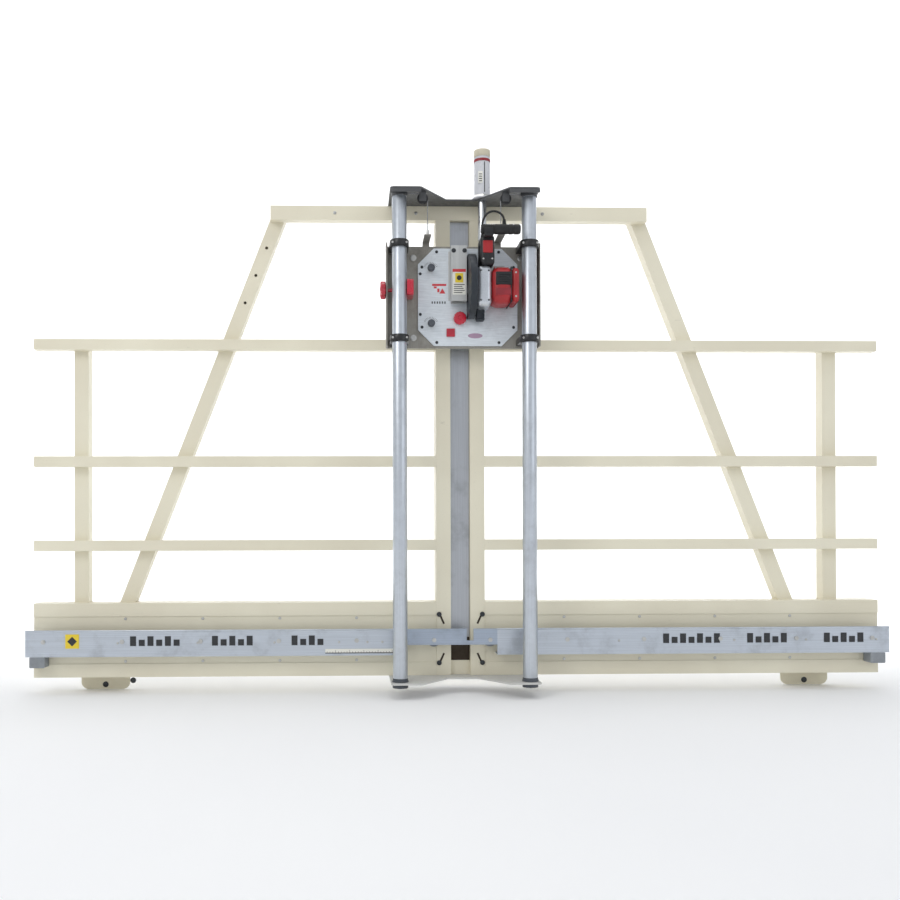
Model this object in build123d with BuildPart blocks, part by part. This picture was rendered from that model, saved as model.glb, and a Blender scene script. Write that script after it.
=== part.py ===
"""Vertical panel saw: a welded steel frame, a roller fence and a counterbalanced saw carriage.

Millimetres. +X runs along the fence to the operator's right, -Y points at the operator and +Z up.
The origin is midway between the two foot bolts, on the rear face of the foot plates.
"""

from build123d import *
import math
import os

os.makedirs("parts", exist_ok=True)

# ---------------------------------------------------------------- driving dimensions
# frame
frame_length = 3048.0
rail_size = 38.1
rail_wall = 1.8
post_size = 50.8
post_wall = 2.0
top_rail_length = 1362.0
top_rail_height = 50.8
low_rail_height = 469.0
middle_rail_height = 770.0
upper_rail_height = 1189.0
top_rail_centre = 1664.0
upright_x = 1365.0
diagonal_top_x = 642.0
diagonal_foot_x = 1200.0
column_width = 175.0
column_wall = 3.0
groove_width = 70.0
groove_depth = 20.0
strip_thickness = 2.0
base_height = 264.0
base_sheet = 2.5
band_height = 45.0
band_step = 3.0
lip_height = 30.0

# feet
foot_plate = 5.0
foot_width = 177.0
foot_x = 1292.0
foot_below_hole = 17.0
foot_above_base = 60.0
foot_corner = 26.0
foot_hole = 16.0
base_z = 39.0

# fence and rollers
fence_overhang = 14.0
fence_front = 50.0
fence_plate = 4.0
fence_bottom = 79.0
fence_height = 93.0
fence_gap_left = 195.0
fence_gap_right = 125.0
bridge_height = 57.0
kerf_notch = 24.0
kerf_depth = 42.0
block_length = 54.0
block_height = 38.0
roller_pitch = 275.0
first_roller_x = 100.0
rollers_per_side = 6
roller_diameter = 50.0
roller_width = 30.0
roller_rear_gap = 9.0
roller_centre = 132.0
roller_bolt = 10.0
bolt_head = 17.0
bolt_head_height = 3.5
screw_head = 11.0

# guide tubes and end plates
tube_diameter = 50.8
tube_wall = 2.4
tube_x = 225.0
tube_forward = 145.0
end_plate = 6.0
end_plate_half = 258.0
end_plate_front = 190.0
end_plate_corner = 14.0
end_plate_waist = 60.0
waist_half = 55.0
shoulder_half = 152.0
plug_height = 40.0
cap_height = 14.0
cap_radius = 27.0
tube_bolt = 8.0
tube_bolt_offset = 13.0

# lift cables, pulleys and counterweights
pulley_x = 144.0
pulley_radius = 19.0
groove_radius = 15.5
pulley_width = 10.0
pulley_drop = 21.4
pulley_axle = 8.0
cheek = 3.0
cheek_width = 24.0
cheek_drop = 11.0
cable_diameter = 3.0
cable_slot = 8.0
weight_diameter = 42.0
weight_length = 480.0
weight_rest = 24.0

# upper stop
stop_x = 75.0
stop_forward = 50.0
stop_diameter = 57.0
stop_height = 150.0
stop_cap_height = 26.0
stop_flange = 74.0
stop_rod_diameter = 31.0
stop_rod_gap = 24.0
stop_rod_hidden = 90.0
stop_flange_height = 5.0
stop_cap_round = 4.0

# carriage
carriage_width = 540.0
carriage_height = 360.0
carriage_sheet = 5.0
carriage_forward = 62.5
carriage_drop = 165.4
flange_depth = 55.0
bearing_height = 21.0
bearing_radius = 33.0
bearing_edge = 3.0
lower_bearing_edge = 9.0
anchor_width = 24.0
anchor_sheet = 4.0
anchor_rise = 14.0
pulley_play = 0.4
counterweight_chamfer = 3.0
brace_hole = 11.0
brace_hole_shares = (0.76, 0.83, 0.9)
mouth_above_base = 6.0
mouth_above_bridge = 20.0
fence_bolt_share = 0.8
roller_chamfer = 2.0
screw_head_rise = 2.2
screw_head_taper = 20.0
cable_slot_margin = 4.0
stop_rod_play = 1.0
stop_cap_lip = 1.0
stop_rod_chamfer = 3.0
lock_knob_round = 4.0
guard_margin = 4.0
ring_screw = 6.0
plunger_knob_round = 5.0
gear_case_side_round = 5.0
motor_end_round = 14.0
finger_room = 6.0
trigger_round = 2.5
saw_knob_round = 6.0
plug_chamfer = 2.0
connector_round = 5.0
lock_rise = 17.0
lock_forward = 100.0
lock_screw = 12.0
lock_knob_radius = 23.0
lock_knob_lobe = 9.0
lock_knob_length = 20.0
shoe_thickness = 23.0
shoe_height = 56.0
shoe_overlap = 14.0
shoe_gap = 0.3

# turntable
pivot_x = 20.0
turntable_width = 352.0
turntable_height = 344.0
turntable_sheet = 6.0
turntable_chamfer = 56.0
ring_outer = 162.0
ring_bore = 138.0
ring_sheet = 4.0
spigot_radius = 150.0
slide_gap = 0.5
plunger_x = 131.0
plunger_rise = 97.0
plunger_pin = 10.0
plunger_barrel = 22.0
barrel_height = 14.0
plunger_knob = 26.0
plunger_knob_length = 18.0
plunger_stroke = 5.5

# saw
blade_x = 28.0
blade_rise = 30.0
blade_diameter = 210.0
blade_sheet = 1.8
blade_teeth = 24
arbor_forward = 28.5
arbor_diameter = 16.0
blade_flange = 40.0
guard_wall = 2.5
guard_clearance = 4.0
guard_width = 24.0
guard_window = 32.0
gear_case_width = 50.0
gear_case_height = 139.0
gear_case_depth = 112.0
gear_case_sink = 14.0
gear_case_round = 24.0
arbor_reach = 20.0
motor_length = 96.0
motor_height = 126.0
motor_depth = 112.0
motor_rise = 20.0
motor_round = 44.0
vent_count = 5
vent_pitch = 9.0
vent_length = 52.0
vent_width = 5.0
vent_depth = 6.0
handle_width = 48.0
handle_height = 100.0
handle_depth = 86.0
grip_thickness = 26.0
handle_set_back = 34.0
handle_shift = 10.0
trigger_width = 34.0
trigger_height = 42.0
trigger_reach = 4.0
trigger_rise = 60.0
trigger_pocket = 12.0
trigger_sink = 4.0
chute_left = 62.0
chute_width = 54.0
chute_height = 194.0
chute_depth = 44.0
chute_sheet = 2.0
chute_rise = 74.0
saw_knob_x = 29.0
saw_knob_drop = 76.0
saw_knob_diameter = 46.0
saw_knob_length = 20.0
saw_stud = 10.0

# saw lead
lead_diameter = 7.5
coupler_radius = 17.0
coupler_forward = 126.0
coupler_length = 134.0
plug_length = 92.0
lead_exit_depth = 60.0
lead_exit_shift = 14.0
lead_entry = 79.0
boss_wall = 3.0
clip_wall = 4.0
clip_width = 30.0
clip_drop = 11.0

# clearances
running_clearance = 0.05
spigot_clearance = 0.35
hole_clearance = 0.4
side_gap = 1.0

# ---------------------------------------------------------------- derived places
frame_depth = rail_size + post_size
panel_y = -(frame_depth + foot_plate)
column_half = column_width / 2
half_length = frame_length / 2
base_top = base_z + base_height
rail_y = panel_y + rail_size / 2
post_y = panel_y + rail_size + post_size / 2
top_rail_z = base_z + top_rail_centre
top_rail_top = top_rail_z + top_rail_height / 2
top_rail_under = top_rail_z - top_rail_height / 2
tube_y = panel_y - tube_forward
tube_radius = tube_diameter / 2
tube_length = top_rail_top - base_z
tube_bolt_y = tube_y + tube_bolt_offset
stop_y = panel_y - stop_forward
stop_bore = stop_rod_diameter + 2 * stop_rod_play
plate_top = top_rail_top + end_plate
web_y = panel_y + band_step
fence_y = panel_y - fence_front
fence_z = base_z + fence_bottom
fence_top = fence_z + fence_height
roller_z = base_z + roller_centre
roller_y = panel_y - roller_rear_gap
roller_places = [first_roller_x + i * roller_pitch for i in range(rollers_per_side)]
roller_xs = [-x for x in reversed(roller_places)] + roller_places

fence_length = frame_length + 2 * fence_overhang
carriage_top = top_rail_top - carriage_drop
pivot_z = carriage_top - carriage_height / 2
carriage_rear = panel_y - carriage_forward
carriage_front = carriage_rear - carriage_sheet
table_rear = carriage_front - slide_gap
table_front = table_rear - turntable_sheet
ring_front = carriage_rear + slide_gap
blade_y = table_front - arbor_forward
blade_z = pivot_z + blade_rise
blade_radius = blade_diameter / 2
guard_radius = blade_radius + guard_clearance + guard_wall
lock_y = panel_y - lock_forward
lock_z = pivot_z + lock_rise
gear_x = blade_x + guard_width / 2
motor_x = gear_x + gear_case_width
motor_z = pivot_z + motor_rise
handle_x = motor_x - gear_case_width / 2 + handle_shift
handle_z = blade_z + gear_case_height / 2 - gear_case_sink
handle_top = handle_z + handle_height
coupler_y = table_front - coupler_forward
coupler_z = handle_top + coupler_radius
coupler_x = handle_x - handle_width / 2


def facing(y):
    """A plane at this y that faces the operator: its own x is +X and its own y is +Z."""
    return Plane.XZ.offset(-y)


def across(x):
    """A plane at this x that faces right: its own x is +Y and its own y is +Z."""
    return Plane.YZ.offset(x)


def level(z):
    """A horizontal plane at this height."""
    return Plane.XY.offset(z)


# ---------------------------------------------------------------- frame
with BuildPart() as top_rail:
    with BuildSketch(across(-top_rail_length / 2)):
        with Locations((rail_y, top_rail_z)):
            Rectangle(rail_size, top_rail_height)
            Rectangle(rail_size - 2 * rail_wall, top_rail_height - 2 * rail_wall, mode=Mode.SUBTRACT)
    extrude(amount=top_rail_length)
top_rail.part.label = "top_rail"
export_step(top_rail.part, "parts/top_rail.step")

# three support rails on each side run from the column to the frame's end
with BuildPart() as support_rails:
    with BuildSketch(across(column_half)):
        for height in (low_rail_height, middle_rail_height, upper_rail_height):
            with Locations((rail_y, base_z + height)):
                Rectangle(rail_size, rail_size)
                Rectangle(rail_size - 2 * rail_wall, rail_size - 2 * rail_wall, mode=Mode.SUBTRACT)
    extrude(amount=half_length - column_half)
    mirror(about=Plane.YZ)
support_rails.part.label = "support_rails"
export_step(support_rails.part, "parts/support_rails.step")

# uprights stand on the base behind the rails and end level with the upper rail's top
with BuildPart() as side_uprights:
    with BuildSketch(level(base_top)):
        with Locations((upright_x, post_y)):
            Rectangle(post_size, post_size)
            Rectangle(post_size - 2 * post_wall, post_size - 2 * post_wall, mode=Mode.SUBTRACT)
    extrude(amount=upper_rail_height + rail_size / 2 - base_height)
    mirror(about=Plane.YZ)
side_uprights.part.label = "side_uprights"
export_step(side_uprights.part, "parts/side_uprights.step")

# diagonals lean from the base to the ends of the top rail
lean = Vector(diagonal_top_x - diagonal_foot_x, 0, top_rail_top - base_top)
lean_width = post_size * lean.length / lean.Z
with BuildPart() as diagonal_braces:
    with BuildSketch(level(base_top)):
        with Locations((diagonal_foot_x, post_y)):
            Rectangle(lean_width, post_size)
            Rectangle(lean_width - 2 * post_wall, post_size - 2 * post_wall, mode=Mode.SUBTRACT)
    extrude(amount=lean.length, dir=lean.normalized())
    mirror(about=Plane.YZ)
    # stand bolts go through the left brace near its top
    for share in brace_hole_shares:
        with BuildSketch(facing(panel_y)):
            with Locations((-(diagonal_foot_x + lean.X * share), base_top + lean.Z * share)):
                Circle(brace_hole / 2)
        extrude(amount=-frame_depth, mode=Mode.SUBTRACT)
diagonal_braces.part.label = "diagonal_braces"
export_step(diagonal_braces.part, "parts/diagonal_braces.step")

# the column is a closed box with a groove down its front, where the blade's tip runs
column_height = top_rail_under - base_z
inner_width = column_width - 2 * column_wall
inner_depth = frame_depth - 2 * column_wall
opening_low = base_z + band_height + mouth_above_base
opening_high = fence_z + fence_height - bridge_height + mouth_above_bridge
with BuildPart() as centre_column:
    with BuildSketch(level(base_z)):
        with Locations((0, panel_y + frame_depth / 2)):
            Rectangle(column_width, frame_depth)
            Rectangle(inner_width, inner_depth, mode=Mode.SUBTRACT)
        with Locations((0, panel_y + (groove_depth + column_wall) / 2)):
            Rectangle(groove_width + 2 * column_wall, groove_depth + column_wall)
        with Locations((0, panel_y + groove_depth / 2)):
            Rectangle(groove_width, groove_depth, mode=Mode.SUBTRACT)
    extrude(amount=column_height)
    # chips fall through the groove's floor below the rollers
    with BuildSketch(facing(panel_y + groove_depth)):
        with Locations((0, (opening_low + opening_high) / 2)):
            Rectangle(groove_width, opening_high - opening_low)
    extrude(amount=-column_wall, mode=Mode.SUBTRACT)
centre_column.part.label = "centre_column"
export_step(centre_column.part, "parts/centre_column.step")

strip_low = opening_high
with BuildPart() as column_strip:
    with BuildSketch(facing(panel_y + groove_depth)):
        with Locations((0, (strip_low + top_rail_under) / 2)):
            Rectangle(groove_width - 2 * side_gap, top_rail_under - strip_low - 2 * side_gap)
    extrude(amount=strip_thickness)
column_strip.part.label = "column_strip"
export_step(column_strip.part, "parts/column_strip.step")

# the base is a folded channel on each side, with a stepped front and lips along its open back
base_length = half_length - column_half
with BuildPart() as base_panels:
    with BuildSketch(across(column_half)):
        for low, high, step in (
            (0, band_height + base_sheet, 0),
            (band_height, base_height - band_height, band_step),
            (base_height - band_height - base_sheet, base_height, 0),
        ):
            with Locations((panel_y + step + base_sheet / 2, base_z + (low + high) / 2)):
                Rectangle(base_sheet, high - low)
        for ledge in (band_height + base_sheet / 2, base_height - band_height - base_sheet / 2):
            with Locations((panel_y + (band_step + base_sheet) / 2, base_z + ledge)):
                Rectangle(band_step + base_sheet, base_sheet)
        for flange in (base_sheet / 2, base_height - base_sheet / 2):
            with Locations((panel_y + frame_depth / 2, base_z + flange)):
                Rectangle(frame_depth, base_sheet)
        for lip in (lip_height / 2, base_height - lip_height / 2):
            with Locations((panel_y + frame_depth - base_sheet / 2, base_z + lip)):
                Rectangle(base_sheet, lip_height)
    extrude(amount=base_length)
    with BuildSketch(facing(panel_y)):
        for x in roller_places:
            with Locations((x, roller_z)):
                Circle((roller_bolt + hole_clearance) / 2)
    extrude(amount=-(band_step + base_sheet + side_gap), mode=Mode.SUBTRACT)
    mirror(about=Plane.YZ)
base_panels.part.label = "base_panels"
export_step(base_panels.part, "parts/base_panels.step")

foot_low = -foot_below_hole
foot_high = base_z + foot_above_base
with BuildPart() as foot_plates:
    with BuildSketch(facing(0)) as foot_outline:
        with Locations((foot_x, (foot_low + foot_high) / 2)):
            Rectangle(foot_width, foot_high - foot_low)
        fillet(foot_outline.vertices().group_by(Axis.Z)[0], foot_corner)
        with Locations((foot_x, 0)):
            Circle(foot_hole / 2, mode=Mode.SUBTRACT)
    extrude(amount=foot_plate)
    mirror(about=Plane.YZ)
foot_plates.part.label = "foot_plates"
export_step(foot_plates.part, "parts/foot_plates.step")

# ---------------------------------------------------------------- fence
fence_half = fence_length / 2
with BuildPart() as fence_rails:
    for low_x, high_x in ((-fence_half, -fence_gap_left), (fence_gap_right, fence_half)):
        with BuildSketch(across(low_x)):
            with Locations((fence_y + fence_plate / 2, fence_z + fence_height / 2)):
                Rectangle(fence_plate, fence_height)
            with Locations(((fence_y + web_y) / 2, fence_z + fence_plate / 2)):
                Rectangle(web_y - fence_y, fence_plate)
            # a bead stiffens the upper edge behind the face
            with Locations((fence_y + fence_plate / 2, fence_top - fence_plate / 2)):
                Circle(fence_plate * fence_bolt_share)
        extrude(amount=high_x - low_x)
        with BuildSketch(facing(fence_y - fence_plate)):
            for x in roller_xs:
                if low_x < x < high_x:
                    with Locations((x, roller_z)):
                        Circle((roller_bolt + hole_clearance) / 2)
        extrude(amount=-4 * fence_plate, mode=Mode.SUBTRACT)
        # outside the frame the web is cut away, so only the face runs on past the base
        end_x = math.copysign(half_length, low_x + high_x)
        tail = fence_half - half_length
        with BuildSketch(facing(fence_y + fence_plate)):
            with Locations((end_x + math.copysign(tail / 2, end_x), fence_z)):
                Rectangle(tail, 4 * fence_plate)
        extrude(amount=-(web_y - fence_y), mode=Mode.SUBTRACT)
fence_rails.part.label = "fence_rails"
export_step(fence_rails.part, "parts/fence_rails.step")

# the bridge closes the gap in front of the column and has a notch for the blade
bridge_length = fence_gap_left + fence_gap_right
bridge_middle = (fence_gap_right - fence_gap_left) / 2
with BuildPart() as fence_bridge:
    with BuildSketch(facing(fence_y + fence_plate)):
        with Locations((bridge_middle, fence_top - bridge_height / 2)):
            Rectangle(bridge_length, bridge_height)
        with Locations((blade_x, fence_top - kerf_depth / 2)):
            Rectangle(kerf_notch, kerf_depth, mode=Mode.SUBTRACT)
        for x in roller_xs:
            if -fence_gap_left < x < fence_gap_right:
                with Locations((x, roller_z)):
                    Circle((roller_bolt + hole_clearance) / 2, mode=Mode.SUBTRACT)
    extrude(amount=fence_plate)
fence_bridge.part.label = "fence_bridge"
export_step(fence_bridge.part, "parts/fence_bridge.step")

with BuildPart() as fence_blocks:
    with BuildSketch(facing(panel_y)):
        with Locations((half_length - block_length / 2, fence_z - block_height / 2)):
            RectangleRounded(block_length, block_height, 4)
    extrude(amount=fence_front)
    mirror(about=Plane.YZ)
fence_blocks.part.label = "fence_blocks"
export_step(fence_blocks.part, "parts/fence_blocks.step")

# a bolt through the fence and the base's web is each roller's axle
with BuildPart() as roller_bolts:
    for x in roller_xs:
        with BuildSketch(facing(fence_y)):
            with Locations((x, roller_z)):
                RegularPolygon(bolt_head / 2, 6)
        extrude(amount=bolt_head_height)
        with BuildSketch(facing(fence_y)):
            with Locations((x, roller_z)):
                Circle(roller_bolt / 2)
        extrude(amount=-(fence_front + band_step + base_sheet))
roller_bolts.part.label = "roller_bolts"
export_step(roller_bolts.part, "parts/roller_bolts.step")

for number, x in enumerate(roller_xs, start=1):
    with BuildPart() as roller:
        with BuildSketch(facing(roller_y)):
            with Locations((x, roller_z)):
                Circle(roller_diameter / 2)
                Circle(roller_bolt / 2 + running_clearance, mode=Mode.SUBTRACT)
        extrude(amount=roller_width)
        chamfer(roller.edges().filter_by(GeomType.CIRCLE).sort_by(SortBy.RADIUS)[-2:], roller_chamfer)
    roller.part.label = f"roller_{number}"
    export_step(roller.part, f"parts/roller_{number}.step")

# pan-head screws hold the web to the stiffeners behind it, above and below each roller
with BuildPart() as base_screws:
    for x in roller_places[1:-1]:
        for z in (base_z + band_height + screw_head, base_top - band_height - screw_head):
            with BuildSketch(facing(web_y)):
                with Locations((x, z)):
                    Circle(screw_head / 2)
            extrude(amount=screw_head_rise, taper=screw_head_taper)
    mirror(about=Plane.YZ)
base_screws.part.label = "base_screws"
export_step(base_screws.part, "parts/base_screws.step")

# ---------------------------------------------------------------- end plates and guide tubes
plate_rear = panel_y + rail_size
for plate_name, under in (("top_plate", top_rail_top), ("bottom_plate", base_z - end_plate)):
    with BuildPart() as end_piece:
        with BuildSketch(level(under)):
            with BuildLine():
                outline = Polyline(
                    (0, plate_rear),
                    (end_plate_half, plate_rear),
                    (end_plate_half, panel_y - end_plate_front),
                    (shoulder_half, panel_y - end_plate_front),
                    (waist_half, panel_y - end_plate_waist),
                    (0, panel_y - end_plate_waist),
                )
                mirror(outline, about=Plane.YZ)
            make_face()
            with Locations((-tube_x, tube_bolt_y), (tube_x, tube_bolt_y)):
                Circle(tube_bolt / 2 + hole_clearance, mode=Mode.SUBTRACT)
            if plate_name == "top_plate":
                with Locations((stop_x, stop_y)):
                    Circle(stop_bore / 2, mode=Mode.SUBTRACT)
        extrude(amount=end_plate)
        fillet(end_piece.edges().filter_by(Axis.Z).group_by(Axis.Y)[0], end_plate_corner)
    end_piece.part.label = plate_name
    export_step(end_piece.part, f"parts/{plate_name}.step")

with BuildPart() as guide_tubes:
    with BuildSketch(level(base_z)):
        with Locations((tube_x, tube_y)):
            Circle(tube_radius)
            Circle(tube_radius - tube_wall, mode=Mode.SUBTRACT)
    extrude(amount=tube_length)
    # the cable enters through a slot in the inner side of the tube's upper end
    with BuildSketch(level(top_rail_top)):
        with Locations((tube_x - tube_radius, tube_y)):
            Rectangle(3 * tube_wall + cable_slot_margin, cable_slot)
    extrude(amount=-pulley_drop, mode=Mode.SUBTRACT)
    mirror(about=Plane.YZ)
guide_tubes.part.label = "guide_tubes"
export_step(guide_tubes.part, "parts/guide_tubes.step")

plug_radius = tube_radius - tube_wall - running_clearance
with BuildPart() as tube_plugs:
    with BuildSketch(level(base_z)):
        with Locations((tube_x, tube_y)):
            Circle(plug_radius)
    extrude(amount=weight_rest - side_gap)
    with BuildSketch(level(base_z - end_plate)):
        with Locations((tube_x, tube_y)):
            Circle(cap_radius)
    extrude(amount=-cap_height)
    with BuildSketch(level(top_rail_top)):
        with Locations((tube_x, tube_y)):
            Circle(plug_radius)
            Circle(cable_slot / 2, mode=Mode.SUBTRACT)
        with Locations((tube_x, tube_bolt_y)):
            Circle(tube_bolt / 2 + hole_clearance, mode=Mode.SUBTRACT)
    extrude(amount=-plug_height)
    with BuildSketch(level(top_rail_top)):
        with Locations((tube_x - tube_radius / 2, tube_y)):
            Rectangle(tube_radius, cable_slot)
    extrude(amount=-pulley_drop, mode=Mode.SUBTRACT)
    mirror(about=Plane.YZ)
tube_plugs.part.label = "tube_plugs"
export_step(tube_plugs.part, "parts/tube_plugs.step")

# hexagon bolts: four hold the column to the base, two hold the guide tubes to the top plate
column_bolt_x = column_half - bolt_head / 2 - side_gap
with BuildPart() as frame_bolts:
    with BuildSketch(facing(panel_y)):
        for x in (-column_bolt_x, column_bolt_x):
            with Locations((x, base_z + band_height), (x, base_top - band_height)):
                RegularPolygon(bolt_head / 2, 6)
    extrude(amount=bolt_head_height)
    for x in (-tube_x, tube_x):
        with BuildSketch(level(top_rail_top + end_plate)):
            with Locations((x, tube_bolt_y)):
                RegularPolygon(bolt_head / 2, 6)
        extrude(amount=tube_bolt)
        with BuildSketch(level(top_rail_top + end_plate)):
            with Locations((x, tube_bolt_y)):
                Circle(tube_bolt / 2)
        extrude(amount=-(end_plate + plug_height / 2))
frame_bolts.part.label = "frame_bolts"
export_step(frame_bolts.part, "parts/frame_bolts.step")

# ---------------------------------------------------------------- pulleys, cables, counterweights
pulley_z = top_rail_top - pulley_drop
cheek_gap = pulley_width / 2 + side_gap
with BuildPart() as pulley_brackets:
    for y in (tube_y + cheek_gap + cheek, tube_y - cheek_gap):
        with BuildSketch(facing(y)):
            with Locations((pulley_x, (pulley_z - cheek_drop + top_rail_top) / 2)):
                Rectangle(cheek_width, top_rail_top - pulley_z + cheek_drop)
        extrude(amount=cheek)
    with BuildSketch(facing(tube_y + cheek_gap + cheek)):
        with Locations((pulley_x, pulley_z)):
            Circle(pulley_axle / 2)
    extrude(amount=2 * (cheek_gap + cheek) + 2)
    mirror(about=Plane.YZ)
pulley_brackets.part.label = "pulley_brackets"
export_step(pulley_brackets.part, "parts/pulley_brackets.step")

for side, sign in (("left", -1), ("right", 1)):
    with BuildPart() as pulley:
        with BuildSketch(facing(tube_y + pulley_width / 2)):
            with Locations((sign * pulley_x, pulley_z)):
                Circle(pulley_radius)
                Circle(pulley_axle / 2 + running_clearance, mode=Mode.SUBTRACT)
        extrude(amount=pulley_width)
        with BuildSketch(facing(tube_y + cable_diameter / 2 + pulley_play)):
            with Locations((sign * pulley_x, pulley_z)):
                Circle(pulley_radius + 1)
                Circle(groove_radius, mode=Mode.SUBTRACT)
        extrude(amount=cable_diameter + 2 * pulley_play, mode=Mode.SUBTRACT)
    pulley.part.label = f"pulley_{side}"
    export_step(pulley.part, f"parts/pulley_{side}.step")

    weight_low = base_z + weight_rest
    with BuildPart() as counterweight:
        with BuildSketch(level(weight_low)):
            with Locations((sign * tube_x, tube_y)):
                Circle(weight_diameter / 2)
        extrude(amount=weight_length)
        chamfer(counterweight.edges(), counterweight_chamfer)
    counterweight.part.label = f"counterweight_{side}"
    export_step(counterweight.part, f"parts/counterweight_{side}.step")

# each cable rises from the carriage, turns over its pulley and drops inside the guide tube
wrap_radius = groove_radius + cable_diameter / 2
anchor_x = pulley_x - wrap_radius
anchor_top = carriage_top + anchor_rise + anchor_sheet
weight_top = base_z + weight_rest + weight_length
with BuildPart() as lift_cables:
    with BuildLine() as cable_route:
        FilletPolyline(
            (anchor_x, tube_y, anchor_top),
            (anchor_x, tube_y, pulley_z + wrap_radius),
            (tube_x, tube_y, pulley_z + wrap_radius),
            (tube_x, tube_y, weight_top),
            radius=wrap_radius,
        )
    with BuildSketch(Plane((anchor_x, tube_y, anchor_top), z_dir=(0, 0, 1))):
        Circle(cable_diameter / 2)
    sweep()
    mirror(about=Plane.YZ)
lift_cables.part.label = "lift_cables"
export_step(lift_cables.part, "parts/lift_cables.step")

# ---------------------------------------------------------------- upper stop
with BuildPart() as stop_tube:
    with BuildSketch(level(plate_top)):
        with Locations((stop_x, stop_y)):
            Circle(stop_flange / 2)
            Circle(stop_bore / 2, mode=Mode.SUBTRACT)
    extrude(amount=stop_flange_height)
    with BuildSketch(level(plate_top)):
        with Locations((stop_x, stop_y)):
            Circle(stop_diameter / 2)
            Circle(stop_bore / 2, mode=Mode.SUBTRACT)
    extrude(amount=stop_height)
stop_tube.part.label = "stop_tube"
export_step(stop_tube.part, "parts/stop_tube.step")

with BuildPart() as stop_cap:
    with BuildSketch(level(plate_top + stop_height)):
        with Locations((stop_x, stop_y)):
            Circle(stop_diameter / 2 + stop_cap_lip)
    extrude(amount=stop_cap_height)
    fillet(stop_cap.edges().group_by(Axis.Z)[-1], stop_cap_round)
stop_cap.part.label = "stop_cap"
export_step(stop_cap.part, "parts/stop_cap.step")

# the plunger hangs through the plate and takes the carriage's top edge
with BuildPart() as stop_rod:
    with BuildSketch(level(carriage_top + stop_rod_gap)):
        with Locations((stop_x, stop_y)):
            Circle(stop_rod_diameter / 2)
    extrude(amount=plate_top + stop_rod_hidden - carriage_top - stop_rod_gap)
    chamfer(stop_rod.edges().group_by(Axis.Z)[0], stop_rod_chamfer)
stop_rod.part.label = "stop_rod"
export_step(stop_rod.part, "parts/stop_rod.step")

# ---------------------------------------------------------------- carriage
plunger_places = [
    (pivot_x - plunger_x, pivot_z + plunger_rise),
    (pivot_x - plunger_x, pivot_z - plunger_rise),
]
# the same two pins meet two more holes when the turntable has turned through a right angle
quarter_turn_places = [
    (pivot_x - plunger_rise, pivot_z - plunger_x),
    (pivot_x + plunger_rise, pivot_z - plunger_x),
]
with BuildPart() as carriage_plate:
    with BuildSketch(facing(carriage_rear)):
        with Locations((0, pivot_z)):
            Rectangle(carriage_width, carriage_height)
        with Locations((pivot_x, pivot_z)):
            Circle(spigot_radius, mode=Mode.SUBTRACT)
        with Locations(*plunger_places, *quarter_turn_places):
            Circle((plunger_pin + hole_clearance) / 2, mode=Mode.SUBTRACT)
    extrude(amount=carriage_sheet)
    # both sides fold forward, outside the guide tubes
    for x in (-carriage_width / 2, carriage_width / 2 - carriage_sheet):
        with BuildSketch(across(x)):
            with Locations((carriage_rear - flange_depth / 2, pivot_z)):
                Rectangle(flange_depth, carriage_height)
        extrude(amount=carriage_sheet)
    # two tabs stand clear of the turntable's corners, reach forward and hold the cable ends
    for x in (-anchor_x, anchor_x):
        with BuildSketch(facing(carriage_rear)):
            with Locations((x, carriage_top + anchor_rise / 2)):
                Rectangle(anchor_width, anchor_rise)
        extrude(amount=carriage_sheet)
        with BuildSketch(level(carriage_top + anchor_rise)):
            with Locations((x, (carriage_rear + tube_y - anchor_width / 2) / 2)):
                Rectangle(anchor_width, carriage_rear - tube_y + anchor_width / 2)
        extrude(amount=anchor_sheet)
    with BuildSketch(across(-carriage_width / 2)):
        with Locations((lock_y, lock_z)):
            Circle(lock_screw / 2 + hole_clearance)
    extrude(amount=carriage_sheet, mode=Mode.SUBTRACT)
carriage_plate.part.label = "carriage_plate"
export_step(carriage_plate.part, "parts/carriage_plate.step")

bearing_levels = (
    carriage_top - bearing_edge - bearing_height,
    carriage_top - carriage_height + lower_bearing_edge,
)
with BuildPart() as guide_bearings:
    for z in bearing_levels:
        with BuildSketch(level(z)):
            with Locations((tube_x, tube_y)):
                Circle(bearing_radius)
            with Locations((tube_x, (tube_y + carriage_front) / 2)):
                Rectangle(2 * bearing_radius, carriage_front - tube_y)
            with Locations((tube_x, tube_y)):
                Circle(tube_radius + running_clearance, mode=Mode.SUBTRACT)
        extrude(amount=bearing_height)
    mirror(about=Plane.YZ)
guide_bearings.part.label = "guide_bearings"
export_step(guide_bearings.part, "parts/guide_bearings.step")

# the lock's shoe rides on the screw, in front of the turntable, and presses on the left guide tube
shoe_left = -tube_x + tube_radius + shoe_gap
shoe_reach = tube_forward - lock_forward + shoe_overlap
shoe_rear = table_front - side_gap
with BuildPart() as lock_shoe:
    with BuildSketch(across(shoe_left)):
        with Locations(((shoe_rear + lock_y - shoe_reach) / 2, lock_z)):
            RectangleRounded(shoe_rear - lock_y + shoe_reach, shoe_height, 10)
        with Locations((lock_y, lock_z)):
            Circle(lock_screw / 2 + running_clearance, mode=Mode.SUBTRACT)
    extrude(amount=shoe_thickness)
lock_shoe.part.label = "lock_shoe"
export_step(lock_shoe.part, "parts/lock_shoe.step")

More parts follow.
